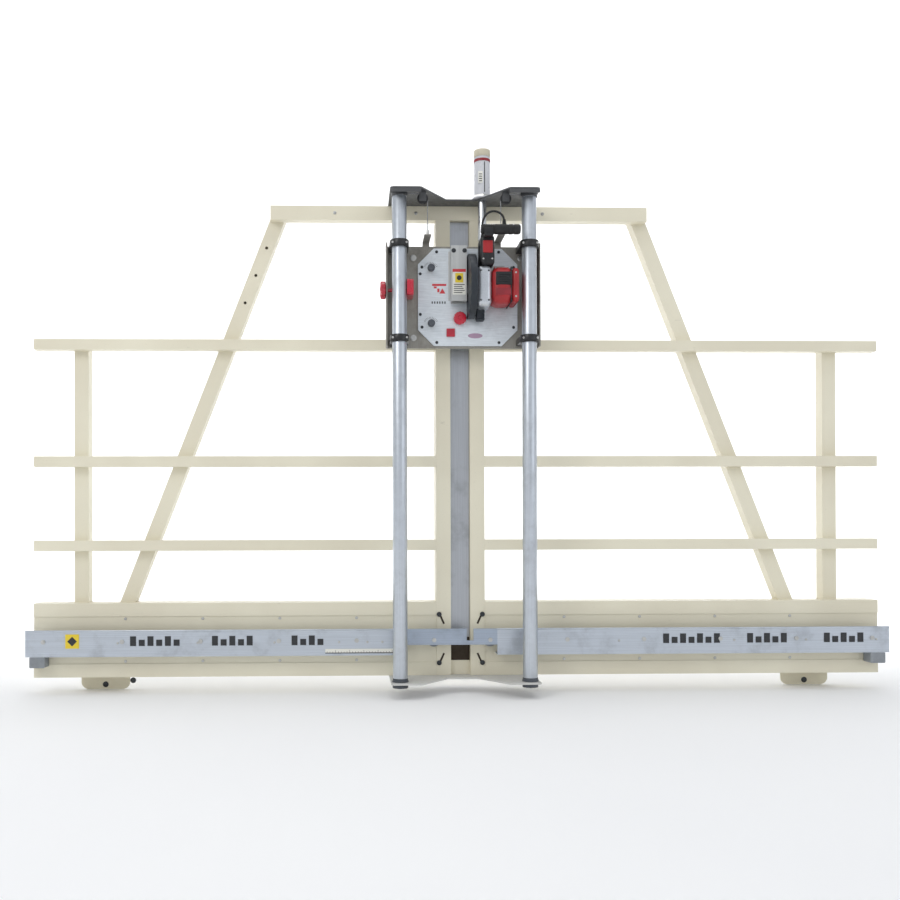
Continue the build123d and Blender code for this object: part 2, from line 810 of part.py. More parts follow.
lock_knob_x = -carriage_width / 2 - side_gap
with BuildPart() as lock_knob:
    with BuildSketch(across(lock_knob_x)):
        with Locations((lock_y, lock_z)):
            Circle(lock_knob_radius)
            with PolarLocations(lock_knob_radius, 6):
                Circle(lock_knob_lobe)
    extrude(amount=-lock_knob_length)
    with BuildSketch(across(lock_knob_x)):
        with Locations((lock_y, lock_z)):
            Circle(lock_screw / 2)
    extrude(amount=shoe_left + shoe_thickness - lock_knob_x)
    fillet(lock_knob.edges().group_by(Axis.X)[0], lock_knob_round)
lock_knob.part.label = "lock_knob"
export_step(lock_knob.part, "parts/lock_knob.step")

# ---------------------------------------------------------------- turntable
half_chord = math.sqrt(blade_radius**2 - arbor_forward**2) + guard_clearance
slot_low = blade_z - half_chord
slot_high = blade_z + half_chord
slot_width = guard_width - guard_margin
with BuildPart() as turntable_plate:
    with BuildSketch(facing(table_rear)) as table_outline:
        with Locations((pivot_x, pivot_z)):
            Rectangle(turntable_width, turntable_height)
        chamfer(table_outline.vertices(), turntable_chamfer)
    extrude(amount=turntable_sheet)
    # the spigot behind the plate turns in the carriage's round opening
    with BuildSketch(facing(table_rear)):
        with Locations((pivot_x, pivot_z)):
            Circle(spigot_radius - spigot_clearance)
            Circle(ring_bore, mode=Mode.SUBTRACT)
    extrude(amount=-(ring_front - table_rear))
    with BuildSketch(facing(table_front)):
        with Locations((blade_x, (slot_low + slot_high) / 2)):
            SlotOverall(slot_high - slot_low, slot_width, rotation=90)
        with Locations(*plunger_places):
            Circle(plunger_pin / 2 + running_clearance)
        with Locations((pivot_x - saw_knob_x, pivot_z - saw_knob_drop)):
            Circle(saw_stud / 2 + running_clearance)
    extrude(amount=-turntable_sheet, mode=Mode.SUBTRACT)
turntable_plate.part.label = "turntable_plate"
export_step(turntable_plate.part, "parts/turntable_plate.step")

with BuildPart() as retaining_ring:
    with BuildSketch(facing(ring_front + ring_sheet)):
        with Locations((pivot_x, pivot_z)):
            Circle(ring_outer)
            Circle(ring_bore, mode=Mode.SUBTRACT)
            with PolarLocations((ring_bore + spigot_radius) / 2, 8, start_angle=22.5):
                Circle(ring_screw / 2, mode=Mode.SUBTRACT)
    extrude(amount=ring_sheet)
retaining_ring.part.label = "retaining_ring"
export_step(retaining_ring.part, "parts/retaining_ring.step")

with BuildPart() as plunger_barrels:
    with BuildSketch(facing(table_front)):
        with Locations(*plunger_places):
            RegularPolygon(plunger_barrel / 2, 6)
            Circle(plunger_pin / 2 + running_clearance, mode=Mode.SUBTRACT)
    extrude(amount=barrel_height)
plunger_barrels.part.label = "plunger_barrels"
export_step(plunger_barrels.part, "parts/plunger_barrels.step")

# each index plunger stands withdrawn, its pin's end inside the turntable; the stroke takes it into the carriage
plunger_seat = table_front - barrel_height - plunger_stroke - slide_gap
pin_end = table_rear - slide_gap
for place, plunger_at in zip(("upper", "lower"), plunger_places):
    with BuildPart() as index_plunger:
        with BuildSketch(facing(plunger_seat)):
            with Locations(plunger_at):
                Circle(plunger_knob / 2)
        extrude(amount=plunger_knob_length)
        fillet(index_plunger.edges().group_by(Axis.Y)[0], plunger_knob_round)
        with BuildSketch(facing(plunger_seat)):
            with Locations(plunger_at):
                Circle(plunger_pin / 2)
        extrude(amount=-(pin_end - plunger_seat))
    index_plunger.part.label = f"index_plunger_{place}"
    export_step(index_plunger.part, f"parts/index_plunger_{place}.step")

# ---------------------------------------------------------------- saw
tooth_points = []
for i in range(blade_teeth):
    turn = 2 * math.pi * i / blade_teeth
    for share, depth in ((0.0, 0.0), (0.12, 9.0), (0.55, 5.0)):
        angle = turn + share * 2 * math.pi / blade_teeth
        reach = blade_radius - depth
        tooth_points.append((reach * math.cos(angle), reach * math.sin(angle)))
with BuildPart() as blade:
    with BuildSketch(Plane((blade_x - blade_sheet / 2, blade_y, blade_z), x_dir=(0, 1, 0), z_dir=(1, 0, 0))):
        with BuildLine():
            Polyline(*tooth_points, close=True)
        make_face()
        Circle(arbor_diameter / 2, mode=Mode.SUBTRACT)
    extrude(amount=blade_sheet)
blade.part.label = "blade"
export_step(blade.part, "parts/blade.step")

# the arbor carries the blade between two flanges
with BuildPart() as arbor:
    for start, length, radius in (
        (blade_x - blade_sheet / 2, 4.0, blade_flange / 2),
        (blade_x - blade_sheet / 2 - 4.0, 5.0, 9.0),
    ):
        with BuildSketch(across(start)):
            with Locations((blade_y, blade_z)):
                Circle(radius)
        extrude(amount=-length)
    with BuildSketch(across(blade_x + blade_sheet / 2)):
        with Locations((blade_y, blade_z)):
            Circle(blade_flange / 2)
    extrude(amount=4.0)
    with BuildSketch(across(blade_x - blade_sheet / 2)):
        with Locations((blade_y, blade_z)):
            Circle(arbor_diameter / 2)
    extrude(amount=gear_x - blade_x + arbor_reach)
arbor.part.label = "arbor"
export_step(arbor.part, "parts/arbor.step")

guard_left = blade_x - guard_width / 2
with BuildPart() as upper_guard:
    with BuildSketch(across(guard_left)):
        with Locations((blade_y, blade_z)):
            Circle(guard_radius)
    extrude(amount=guard_width)
    with BuildSketch(across(guard_left + guard_wall)):
        with Locations((blade_y, blade_z)):
            Circle(guard_radius - guard_wall)
    extrude(amount=guard_width - 2 * guard_wall, mode=Mode.SUBTRACT)
    with BuildSketch(across(guard_left)):
        with Locations((blade_y, blade_z)):
            Circle(guard_window)
        with Locations((table_front + guard_radius, blade_z)):
            Rectangle(2 * guard_radius, 3 * guard_radius)
    extrude(amount=guard_width, mode=Mode.SUBTRACT)
upper_guard.part.label = "upper_guard"
export_step(upper_guard.part, "parts/upper_guard.step")

with BuildPart() as gear_case:
    with BuildSketch(across(gear_x)):
        with Locations((table_front - gear_case_depth / 2, blade_z - gear_case_sink)):
            RectangleRounded(gear_case_depth, gear_case_height, gear_case_round)
    extrude(amount=gear_case_width)
    fillet(gear_case.edges().group_by(Axis.X)[0], gear_case_side_round)
    with BuildSketch(across(gear_x)):
        with Locations((blade_y, blade_z)):
            Circle(arbor_diameter / 2 + running_clearance)
    extrude(amount=arbor_reach + side_gap, mode=Mode.SUBTRACT)
gear_case.part.label = "gear_case"
export_step(gear_case.part, "parts/gear_case.step")

with BuildPart() as motor_housing:
    with BuildSketch(across(motor_x)):
        with Locations((table_front - motor_depth / 2, motor_z)):
            RectangleRounded(motor_depth, motor_height, motor_round)
    extrude(amount=motor_length)
    fillet(motor_housing.edges().group_by(Axis.X)[-1], motor_end_round)
    # cooling slots on the side that faces the operator
    with BuildSketch(facing(table_front - motor_depth)):
        with Locations((motor_x + motor_length / 2, motor_z + 12)):
            with GridLocations(0, vent_pitch, 1, vent_count):
                SlotOverall(vent_length, vent_width)
    extrude(amount=-vent_depth, mode=Mode.SUBTRACT)
motor_housing.part.label = "motor_housing"
export_step(motor_housing.part, "parts/motor_housing.step")

# the handle is a loop over the gear case, with room for four fingers
handle_rear = table_front - handle_set_back
finger_gap = (handle_depth - 2 * grip_thickness, handle_height - 2 * grip_thickness + finger_room)
finger_centre = (handle_rear - handle_depth / 2, handle_z + handle_height / 2)
handle_front = handle_rear - handle_depth
with BuildPart() as saw_handle:
    with BuildSketch(across(handle_x - handle_width / 2)):
        with Locations(finger_centre):
            RectangleRounded(handle_depth, handle_height, 16)
            RectangleRounded(*finger_gap, 12, mode=Mode.SUBTRACT)
    extrude(amount=handle_width)
    # a moulded clip on the handle's top front edge carries the plug and its connector
    with BuildSketch(across(handle_x - clip_width / 2)):
        with Locations((coupler_y, handle_top + (coupler_radius - clip_drop) / 2)):
            Rectangle(2 * (coupler_radius + clip_wall), coupler_radius + clip_drop)
    extrude(amount=clip_width)
    with BuildSketch(across(handle_x - clip_width / 2)):
        with Locations((coupler_y, coupler_z)):
            Circle(coupler_radius + running_clearance)
    extrude(amount=clip_width, mode=Mode.SUBTRACT)
    with BuildSketch(facing(handle_front)):
        with Locations((handle_x, handle_z + trigger_rise)):
            Rectangle(trigger_width + 2 * hole_clearance, trigger_height + 2 * hole_clearance)
    extrude(amount=-trigger_pocket, mode=Mode.SUBTRACT)
saw_handle.part.label = "saw_handle"
export_step(saw_handle.part, "parts/saw_handle.step")

with BuildPart() as saw_trigger:
    with BuildSketch(facing(handle_front + trigger_sink)):
        with Locations((handle_x, handle_z + trigger_rise)):
            Rectangle(trigger_width, trigger_height)
    extrude(amount=trigger_reach + trigger_sink)
    fillet(saw_trigger.edges().group_by(Axis.Y)[0], trigger_round)
saw_trigger.part.label = "saw_trigger"
export_step(saw_trigger.part, "parts/saw_trigger.step")

# the chute beside the blade throws chips down and carries the label plate
chute_x = pivot_x - chute_left
chute_low = pivot_z + chute_rise - chute_height / 2
with BuildPart() as dust_chute:
    with BuildSketch(level(chute_low)):
        with Locations((chute_x + chute_width / 2, table_front - chute_depth / 2)):
            Rectangle(chute_width, chute_depth)
            Rectangle(chute_width - 2 * chute_sheet, chute_depth - 2 * chute_sheet, mode=Mode.SUBTRACT)
    extrude(amount=chute_height)
    with BuildSketch(level(chute_low + chute_height)):
        with Locations((chute_x + chute_width / 2, table_front - chute_depth / 2)):
            Rectangle(chute_width, chute_depth)
    extrude(amount=-chute_sheet)
dust_chute.part.label = "dust_chute"
export_step(dust_chute.part, "parts/dust_chute.step")

with BuildPart() as saw_knob:
    with BuildSketch(facing(table_front - side_gap)):
        with Locations((pivot_x - saw_knob_x, pivot_z - saw_knob_drop)):
            Circle(saw_knob_diameter / 2)
    extrude(amount=saw_knob_length)
    fillet(saw_knob.edges().group_by(Axis.Y)[0], saw_knob_round)
    with BuildSketch(facing(table_front - side_gap)):
        with Locations((pivot_x - saw_knob_x, pivot_z - saw_knob_drop)):
            Circle(saw_stud / 2)
    extrude(amount=-(turntable_sheet + side_gap))
saw_knob.part.label = "saw_knob"
export_step(saw_knob.part, "parts/saw_knob.step")

# ---------------------------------------------------------------- saw lead
plug_end = coupler_x + plug_length
lead_entry_x = coupler_x + lead_entry
boss_top = coupler_z + coupler_radius + boss_wall
with BuildPart() as saw_plug:
    with BuildSketch(across(coupler_x)):
        with Locations((coupler_y, coupler_z)):
            Circle(coupler_radius)
    extrude(amount=plug_length)
    chamfer(saw_plug.edges().group_by(Axis.X)[0], plug_chamfer)
    with BuildSketch(level(coupler_z)):
        with Locations((lead_entry_x, coupler_y)):
            Circle(lead_diameter / 2 + boss_wall)
    extrude(amount=boss_top - coupler_z)
saw_plug.part.label = "saw_plug"
export_step(saw_plug.part, "parts/saw_plug.step")

with BuildPart() as saw_connector:
    with BuildSketch(across(plug_end)):
        with Locations((coupler_y, coupler_z)):
            Circle(coupler_radius)
    extrude(amount=coupler_length - plug_length)
    fillet(saw_connector.edges().group_by(Axis.X)[-1], connector_round)
saw_connector.part.label = "saw_connector"
export_step(saw_connector.part, "parts/saw_connector.step")

# the lead leaves the handle's top behind the plug, arches over and enters the plug from above
lead_exit = Vector(handle_x - lead_exit_shift, handle_rear - lead_exit_depth, handle_top)
lead_end = Vector(lead_entry_x, coupler_y, boss_top)
lead_span = lead_end - lead_exit
lead_points = [lead_exit]
for across_share, forward_share, rise in (
    (0.0, 0.0, 17),
    (-0.04, 0.27, 35),
    (-0.01, 0.45, 54),
    (0.12, 0.6, 71),
    (0.35, 0.7, 81),
    (0.62, 0.8, 81),
    (0.86, 0.92, 71),
    (1.0, 1.0, 55),
):
    step = Vector(lead_span.X * across_share, lead_span.Y * forward_share, rise)
    lead_points.append(lead_exit + step)
lead_points.append(lead_end)
lead_radii = []
for before, corner, after in zip(lead_points, lead_points[1:], lead_points[2:]):
    into = corner - before
    out_of = after - corner
    half_turn = math.radians(into.get_angle(out_of)) / 2
    lead_radii.append(0.45 * min(into.length, out_of.length) / math.tan(half_turn))
print("lead radii", [round(radius, 1) for radius in lead_radii])
with BuildPart() as saw_lead:
    with BuildLine() as lead_route:
        FilletPolyline(*lead_points, radius=lead_radii)
    with BuildSketch(Plane(lead_exit, z_dir=lead_points[1] - lead_exit)):
        Circle(lead_diameter / 2)
    sweep()
saw_lead.part.label = "saw_lead"
export_step(saw_lead.part, "parts/saw_lead.step")
lead_volume = math.pi * lead_diameter**2 / 4 * lead_route.wires()[0].length
print("lead length", round(lead_route.wires()[0].length, 1), "volume", round(saw_lead.part.volume / lead_volume, 4))
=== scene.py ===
"""Looks of a vertical panel saw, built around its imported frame.

Metres, with +X to the operator's right, -Y towards the operator and +Z up.
"""

import math

import bpy
from bpy.props import FloatProperty, FloatVectorProperty, IntProperty, PointerProperty
from mathutils import Matrix, Vector


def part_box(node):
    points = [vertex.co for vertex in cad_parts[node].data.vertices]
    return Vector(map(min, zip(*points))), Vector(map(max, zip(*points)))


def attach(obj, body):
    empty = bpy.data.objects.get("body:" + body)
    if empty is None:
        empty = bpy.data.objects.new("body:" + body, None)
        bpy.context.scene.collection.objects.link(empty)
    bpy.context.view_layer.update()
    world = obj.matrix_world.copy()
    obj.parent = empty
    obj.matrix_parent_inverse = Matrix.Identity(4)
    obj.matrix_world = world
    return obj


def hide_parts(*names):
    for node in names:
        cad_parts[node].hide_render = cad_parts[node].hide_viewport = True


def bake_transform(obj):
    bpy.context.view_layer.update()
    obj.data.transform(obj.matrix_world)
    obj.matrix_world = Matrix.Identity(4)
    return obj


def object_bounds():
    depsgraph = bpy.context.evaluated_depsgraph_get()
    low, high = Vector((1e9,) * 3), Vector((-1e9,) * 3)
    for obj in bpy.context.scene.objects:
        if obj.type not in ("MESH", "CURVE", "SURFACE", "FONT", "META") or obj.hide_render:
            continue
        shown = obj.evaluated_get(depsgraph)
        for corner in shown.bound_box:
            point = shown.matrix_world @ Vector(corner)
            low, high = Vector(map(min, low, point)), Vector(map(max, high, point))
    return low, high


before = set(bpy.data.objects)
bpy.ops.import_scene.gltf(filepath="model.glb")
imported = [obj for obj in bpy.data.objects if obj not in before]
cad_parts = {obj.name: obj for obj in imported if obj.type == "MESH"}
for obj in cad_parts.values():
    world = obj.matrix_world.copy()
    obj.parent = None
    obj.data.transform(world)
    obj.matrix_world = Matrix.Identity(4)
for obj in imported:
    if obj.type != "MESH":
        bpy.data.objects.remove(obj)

bl_info = {
    "name": "Panel Saw Looks",
    "version": (1, 0, 0),
    "blender": (4, 5, 0),
    "location": "View3D > Sidebar > Panel Saw",
    "description": "Finishes, hardware, saw body and cords of a vertical panel saw",
    "category": "Object",
}

CAD_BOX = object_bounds()
FRONT = Vector((0, -1, 0))
RIGHT = Vector((1, 0, 0))
UP = Vector((0, 0, 1))
SMOOTH_ANGLE = math.radians(35)


# ---------------------------------------------------------------- settings
def colour_setting(name, description, default):
    """A colour that the user can change."""
    return FloatVectorProperty(
        name=name, description=description, default=default, size=3, subtype="COLOR", min=0.0, max=1.0
    )


def length_setting(name, description, default):
    """A length in metres that the user can change."""
    return FloatProperty(
        name=name, description=description, default=default, unit="LENGTH", subtype="DISTANCE"
    )


class PanelSawColours(bpy.types.PropertyGroup):
    """Colours of the painted, plated and moulded pieces."""

    cream: colour_setting("Cream", "Powder coat of the welded frame", (0.80, 0.755, 0.60))
    zinc: colour_setting("Zinc", "Plated sheet of the carriage", (0.34, 0.325, 0.29))
    tube: colour_setting("Tube", "Galvanised guide tubes", (0.60, 0.64, 0.69))
    fence: colour_setting("Fence", "Brushed fence", (0.57, 0.615, 0.675))
    red: colour_setting("Red", "Red moulded plastic", (0.40, 0.018, 0.022))
    knob: colour_setting("Knob", "Bright red knob", (0.52, 0.012, 0.035))
    black: colour_setting("Black", "Black moulded plastic", (0.013, 0.013, 0.015))


class PanelSawSizes(bpy.types.PropertyGroup):
    """Sizes of the small details."""

    edge: length_setting("Edge", "Rounding of cut and folded edges", 0.0007)
    print_height: length_setting("Print", "Thickness of a printed mark", 0.0002)
    lead_radius: length_setting("Lead radius", "Radius of the saw's lead", 0.00375)
    vent_count: IntProperty(name="Vents", description="Cooling slots on the motor", default=5, min=1)
    lens: FloatProperty(name="Lens", description="Focal length of the camera in millimetres", default=38.81)


def colours():
    """The colour settings of this scene."""
    return bpy.context.scene.panel_saw_colours


def sizes():
    """The size settings of this scene."""
    return bpy.context.scene.panel_saw_sizes


# ---------------------------------------------------------------- shader graphs
class Value:
    """A socket of a shader graph. Python's operators on it add Math nodes."""

    def __init__(self, graph, socket):
        self.graph = graph
        self.socket = socket

    def math(self, operation, first, second=0.0):
        """Adds one Math node."""
        return self.graph.node("ShaderNodeMath", {"operation": operation}, {0: first, 1: second})

    def __add__(self, other):
        return self.math("ADD", self, other)

    def __radd__(self, other):
        return self.math("ADD", other, self)

    def __mul__(self, other):
        return self.math("MULTIPLY", self, other)

    def __rmul__(self, other):
        return self.math("MULTIPLY", other, self)


class Graph:
    """One material and the nodes that feed its shader."""

    def __init__(self, name):
        self.material = bpy.data.materials.new(name)
        self.material.use_nodes = True
        self.tree = self.material.node_tree
        self.tree.nodes.clear()
        self.shader = self.tree.nodes.new("ShaderNodeBsdfPrincipled")
        ending = self.tree.nodes.new("ShaderNodeOutputMaterial")
        self.tree.links.new(self.shader.outputs[0], ending.inputs[0])

    def node(self, kind, settings=None, values=None, output=0):
        """Adds a node: settings first, then its sockets."""
        made = self.tree.nodes.new(kind)
        for key, setting in (settings or {}).items():
            setattr(made, key, setting)
        for key, value in (values or {}).items():
            self.feed(made.inputs[key], value)
        return Value(self, made.outputs[output])

    def feed(self, socket, value):
        """Links a value to a socket, or sets the socket to a constant."""
        if isinstance(value, Value):
            self.tree.links.new(value.socket, socket)
        else:
            socket.default_value = value

    def set(self, **inputs):
        """Sets the shader's own sockets; an underscore in a name stands for a space."""
        for key, value in inputs.items():
            self.feed(self.shader.inputs[key.replace("_", " ")], value)

    def place(self, stretch=(1, 1, 1), centre=(0, 0, 0)):
        """The piece's own coordinates, moved and stretched."""
        spot = self.node("ShaderNodeTexCoord", output=3)
        return self.node("ShaderNodeMapping", values={0: spot, 1: centre, 3: stretch})

    def noise(self, scale, stretch=(1, 1, 1), detail=4.0, rough=0.55):
        """Noise in the piece's own coordinates."""
        values = {"Vector": self.place(stretch), "Scale": scale, "Detail": detail, "Roughness": rough}
        return self.node("ShaderNodeTexNoise", values=values)

    def cells(self, scale, stretch=(1, 1, 1)):
        """Random colour of each cell, as its red share."""
        values = {"Vector": self.place(stretch), "Scale": scale}
        picked = self.node("ShaderNodeTexVoronoi", values=values, output=1)
        return self.node("ShaderNodeSeparateColor", values={0: picked})

    def fade(self, value, low, high, bottom=0.0, top=1.0):
        """A smooth step from bottom to top as the value goes from low to high."""
        settings = {"interpolation_type": "SMOOTHSTEP"}
        return self.node("ShaderNodeMapRange", settings, {0: value, 1: low, 2: high, 3: bottom, 4: top})

    def mix(self, share, first, second):
        """Two colours mixed by a share."""
        return self.node("ShaderNodeMix", {"data_type": "RGBA"}, {0: share, 6: first, 7: second}, output=2)

    def bump(self, height, strength, distance=0.001):
        """A normal raised by a height."""
        values = {"Strength": strength, "Distance": distance, "Height": height}
        return self.node("ShaderNodeBump", values=values)


def tinted(colour, factor, warm=0.0):
    """A colour made lighter or darker, and warmer or cooler."""
    shifts = (1 + warm, 1.0, 1 - warm)
    return tuple(min(1.0, channel * factor * shift) for channel, shift in zip(colour, shifts)) + (1.0,)


# ---------------------------------------------------------------- finishes
def painted(name, colour, gloss=0.42, peel=0.12, scuffs=0.3):
    """Powder coat: broad unevenness, orange peel, dust and a few rubbed marks."""
    graph = Graph(name)
    broad = graph.fade(graph.noise(2.2, detail=3.0), 0.35, 0.68)
    fine = graph.noise(55.0, detail=6.0)
    body = graph.mix(broad, tinted(colour, 1.03), tinted(colour, 0.93, 0.015))
    rubbed = graph.fade(graph.noise(38.0, (0.3, 1, 1), 9.0, 0.72), 0.655, 0.72)
    body = graph.mix(rubbed * scuffs, body, tinted(colour, 0.45, 0.03))
    specks = graph.fade(graph.noise(260.0, detail=2.0), 0.70, 0.74)
    body = graph.mix(specks * scuffs, body, tinted(colour, 0.6))
    graph.set(Base_Color=body, Roughness=graph.fade(fine, 0.3, 0.7, gloss - 0.06, gloss + 0.1))
    graph.set(Normal=graph.bump(graph.noise(620.0, detail=2.0), peel, 0.0004))
    return graph.material


def metal(name, colour, rough=0.3, along=(1, 1, 1), grain=0.25, blotches=0.35, spangle=0.0, shine=1.0):
    """Bare or plated metal: fine lines along the rolling direction, smears and darker blotches."""
    graph = Graph(name)
    lines = graph.noise(1.0, along, 3.0, 0.6)
    smears = graph.noise(9.0, detail=6.0, rough=0.65)
    body = graph.mix(graph.fade(lines, 0.25, 0.75), tinted(colour, 0.86), tinted(colour, 1.08))
    dull = graph.fade(smears, 0.48, 0.72)
    body = graph.mix(dull * blotches, body, tinted(colour, 0.55, 0.02))
    coarse = graph.fade(lines, 0.2, 0.8, rough - 0.07, rough + 0.1)
    if spangle:
        flakes = graph.cells(75.0)
        body = graph.mix(flakes * spangle, body, tinted(colour, 1.3))
        coarse = coarse + flakes * (spangle * 0.3)
    graph.set(Base_Color=body, Metallic=shine, Roughness=coarse + dull * 0.12)
    graph.set(Normal=graph.bump(lines, grain, 0.0003))
    return graph.material


def moulded(name, colour, gloss=0.38, grain=0.2, coat=0.0, scratches=0.25):
    """Moulded plastic or rubber: spark-eroded grain, handling marks and fine scratches."""
    graph = Graph(name)
    grip = graph.fade(graph.noise(14.0, detail=5.0), 0.4, 0.7)
    body = graph.mix(grip, tinted(colour, 1.06), tinted(colour, 0.82))
    lines = graph.fade(graph.noise(30.0, (1, 7, 0.4), 8.0, 0.75), 0.64, 0.70)
    body = graph.mix(lines * scratches, body, tinted(tuple(0.25 + 0.6 * channel for channel in colour), 1.0))
    graph.set(Base_Color=body, Roughness=graph.fade(grip, 0.0, 1.0, gloss, gloss + 0.14))
    graph.set(Coat_Weight=coat, Normal=graph.bump(graph.noise(1100.0, detail=2.0), grain, 0.0003))
    return graph.material


def ground_steel(name, colour, hub):
    """Tool steel ground in rings about its hub."""
    graph = Graph(name)
    spot = graph.place(centre=tuple(-hub))
    reach = graph.node("ShaderNodeVectorMath", {"operation": "LENGTH"}, {0: spot}, output=1)
    rings = graph.node("ShaderNodeTexNoise", {"noise_dimensions": "1D"}, {"W": reach * 900.0, "Detail": 5.0})
    stain = graph.fade(graph.noise(45.0, detail=6.0), 0.5, 0.75)
    body = graph.mix(rings, tinted(colour, 0.8), tinted(colour, 1.1))
    graph.set(Base_Color=graph.mix(stain * 0.4, body, tinted(colour, 0.4, 0.1)), Metallic=1.0)
    graph.set(Roughness=graph.fade(rings, 0.3, 0.7, 0.24, 0.42), Normal=graph.bump(rings, 0.15, 0.0002))
    return graph.material


def wire_rope(name):
    """Strands laid at a slant round the rope."""
    graph = Graph(name)
    settings = {"wave_type": "BANDS", "bands_direction": "DIAGONAL"}
    values = {"Vector": graph.place((1.0, 1.0, 0.35)), "Scale": 330.0, "Distortion": 0.4, "Detail": 2.0}
    lay = graph.node("ShaderNodeTexWave", settings, values, output=1)
    graph.set(Base_Color=graph.mix(lay, (0.16, 0.16, 0.17, 1.0), (0.55, 0.56, 0.58, 1.0)), Metallic=1.0)
    graph.set(Roughness=graph.fade(lay, 0.0, 1.0, 0.5, 0.3), Normal=graph.bump(lay, 0.7, 0.0006))
    return graph.material


def printed(name, colour, gloss=0.5):
    """Ink or film on a hard surface, slightly worn."""
    graph = Graph(name)
    worn = graph.fade(graph.noise(120.0, detail=8.0, rough=0.7), 0.56, 0.72)
    graph.set(Base_Color=graph.mix(worn * 0.3, tinted(colour, 1.0), tinted(colour, 0.75)))
    graph.set(Roughness=graph.fade(worn, 0.0, 1.0, gloss, gloss + 0.2))
    return graph.material


def make_finishes():
    """Every finish of the machine, by the words a maker would use."""
    tone = colours()
    across, upward = (4.0, 900.0, 900.0), (900.0, 900.0, 4.0)
    rolled = (18.0, 18.0, 420.0)
    hub = (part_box("blade")[0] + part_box("blade")[1]) / 2
    return {
        "cream": painted("cream_powder_coat", tone.cream),
        "cream_cap": moulded("cream_cap", (0.60, 0.55, 0.42), gloss=0.45),
        "dark_paint": painted("dark_grey_paint", (0.085, 0.088, 0.092), gloss=0.38, scuffs=0.5),
        "tube": metal("galvanised_tube", tone.tube, 0.33, upward, 0.08, 0.3, 0.16, shine=0.92),
        "strip": metal("column_strip_zinc", (0.50, 0.52, 0.55), 0.42, upward, 0.15, 0.4),
        "plate": painted("pale_grey_plate", (0.62, 0.62, 0.60), gloss=0.45, scuffs=0.4),
        "fence": metal("brushed_fence", tone.fence, 0.34, across, 0.2, 0.5, shine=0.8),
        "bridge": metal("brushed_bridge", (0.42, 0.48, 0.57), 0.38, across, 0.2, 0.4, shine=0.8),
        "bolt": metal("zinc_bolt", (0.58, 0.58, 0.56), 0.33, (60, 60, 60), 0.15, 0.6),
        "dark_bolt": metal("black_oxide_bolt", (0.07, 0.075, 0.08), 0.4, (60, 60, 60), 0.15, 0.5),
        "zinc": metal("zinc_sheet", tone.zinc, 0.5, (500.0, 500.0, 30.0), 0.12, 0.75, 0.1, shine=0.6),
        "table": metal("bright_plate", (0.74, 0.79, 0.83), 0.36, rolled, 0.1, 0.35, 0.1, shine=0.35),
        "chute": metal("chute_sheet", (0.58, 0.59, 0.58), 0.42, upward, 0.12, 0.35, shine=0.4),
        "cast": metal("die_cast_aluminium", (0.64, 0.67, 0.71), 0.34, (300, 300, 300), 0.3, 0.35, shine=0.75),
        "bar": metal("turned_bar", (0.22, 0.22, 0.23), 0.45, upward, 0.2, 0.6),
        "pale_rod": metal("pale_rod", (0.82, 0.84, 0.87), 0.22, upward, 0.08, 0.15),
        "steel": ground_steel("ground_blade_steel", (0.42, 0.43, 0.45), hub),
        "rope": wire_rope("wire_rope"),
        "red": moulded("red_housing", tone.red, gloss=0.36, grain=0.25),
        "knob": moulded("red_knob", tone.knob, gloss=0.24, grain=0.05, coat=0.5),
        "dark_red": moulded("dark_red_ring", (0.30, 0.02, 0.03), gloss=0.35),
        "black": moulded("black_grip", tone.black, gloss=0.42, grain=0.35),
        "nylon": moulded("black_nylon", (0.017, 0.017, 0.018), gloss=0.34, grain=0.12),
        "rubber": moulded("black_rubber", (0.012, 0.012, 0.012), gloss=0.55, grain=0.3),
        "guard": painted("dark_guard_paint", (0.016, 0.022, 0.030), gloss=0.46, scuffs=0.6),
        "grey": moulded("grey_block", (0.26, 0.28, 0.30), gloss=0.5),
        "cap": moulded("dark_grey_cap", (0.07, 0.08, 0.095), gloss=0.45),
        "white": painted("white_enamel", (0.60, 0.61, 0.64), gloss=0.3, peel=0.03, scuffs=0.2),
        "ink": printed("dark_ink", (0.025, 0.027, 0.03)),
        "red_ink": printed("red_ink", (0.62, 0.05, 0.06)),
        "yellow": printed("yellow_film", (0.80, 0.60, 0.04)),
        "label": printed("pale_label", (0.82, 0.81, 0.74)),
        "mauve": printed("mauve_film", (0.40, 0.27, 0.37)),
        # painted shade: a near-black finish for the shaded insides of the slots and the column's mouth
        "hollow_painted_shade": painted("shadowed_hollow", (0.045, 0.032, 0.02), gloss=0.8, peel=0.3),
    }


FINISHES = {}


def finish(name):
    """A finish by name, made with all the others at its first use."""
    if not FINISHES:
        FINISHES.update(make_finishes())
    return FINISHES[name]


# ---------------------------------------------------------------- modelling by hand
def clear():
    """Leaves edit mode and deselects everything."""
    if bpy.context.object and bpy.context.object.mode != "OBJECT":
        bpy.ops.object.mode_set(mode="OBJECT")
    bpy.ops.object.select_all(action="DESELECT")


def only(piece):
    """Selects one piece and makes it active."""
    clear()
    piece.select_set(True)
    bpy.context.view_layer.objects.active = piece


def settle(piece):
    """Puts a piece's place into its mesh."""
    only(piece)
    bpy.ops.object.transform_apply(location=True, rotation=True, scale=True)


def edit(piece, mode="FACE"):
    """Opens a piece in edit mode with nothing selected."""
    only(piece)
    bpy.ops.object.mode_set(mode="EDIT")
    bpy.ops.mesh.select_mode(type=mode)
    bpy.ops.mesh.select_all(action="DESELECT")


def pick_faces(piece, wanted):
    """Opens a piece and selects the faces whose centre and normal pass the test."""
    edit(piece)
    bpy.ops.object.mode_set(mode="OBJECT")
    for face in piece.data.polygons:
        face.select = wanted(face.center, face.normal)
    bpy.ops.object.mode_set(mode="EDIT")


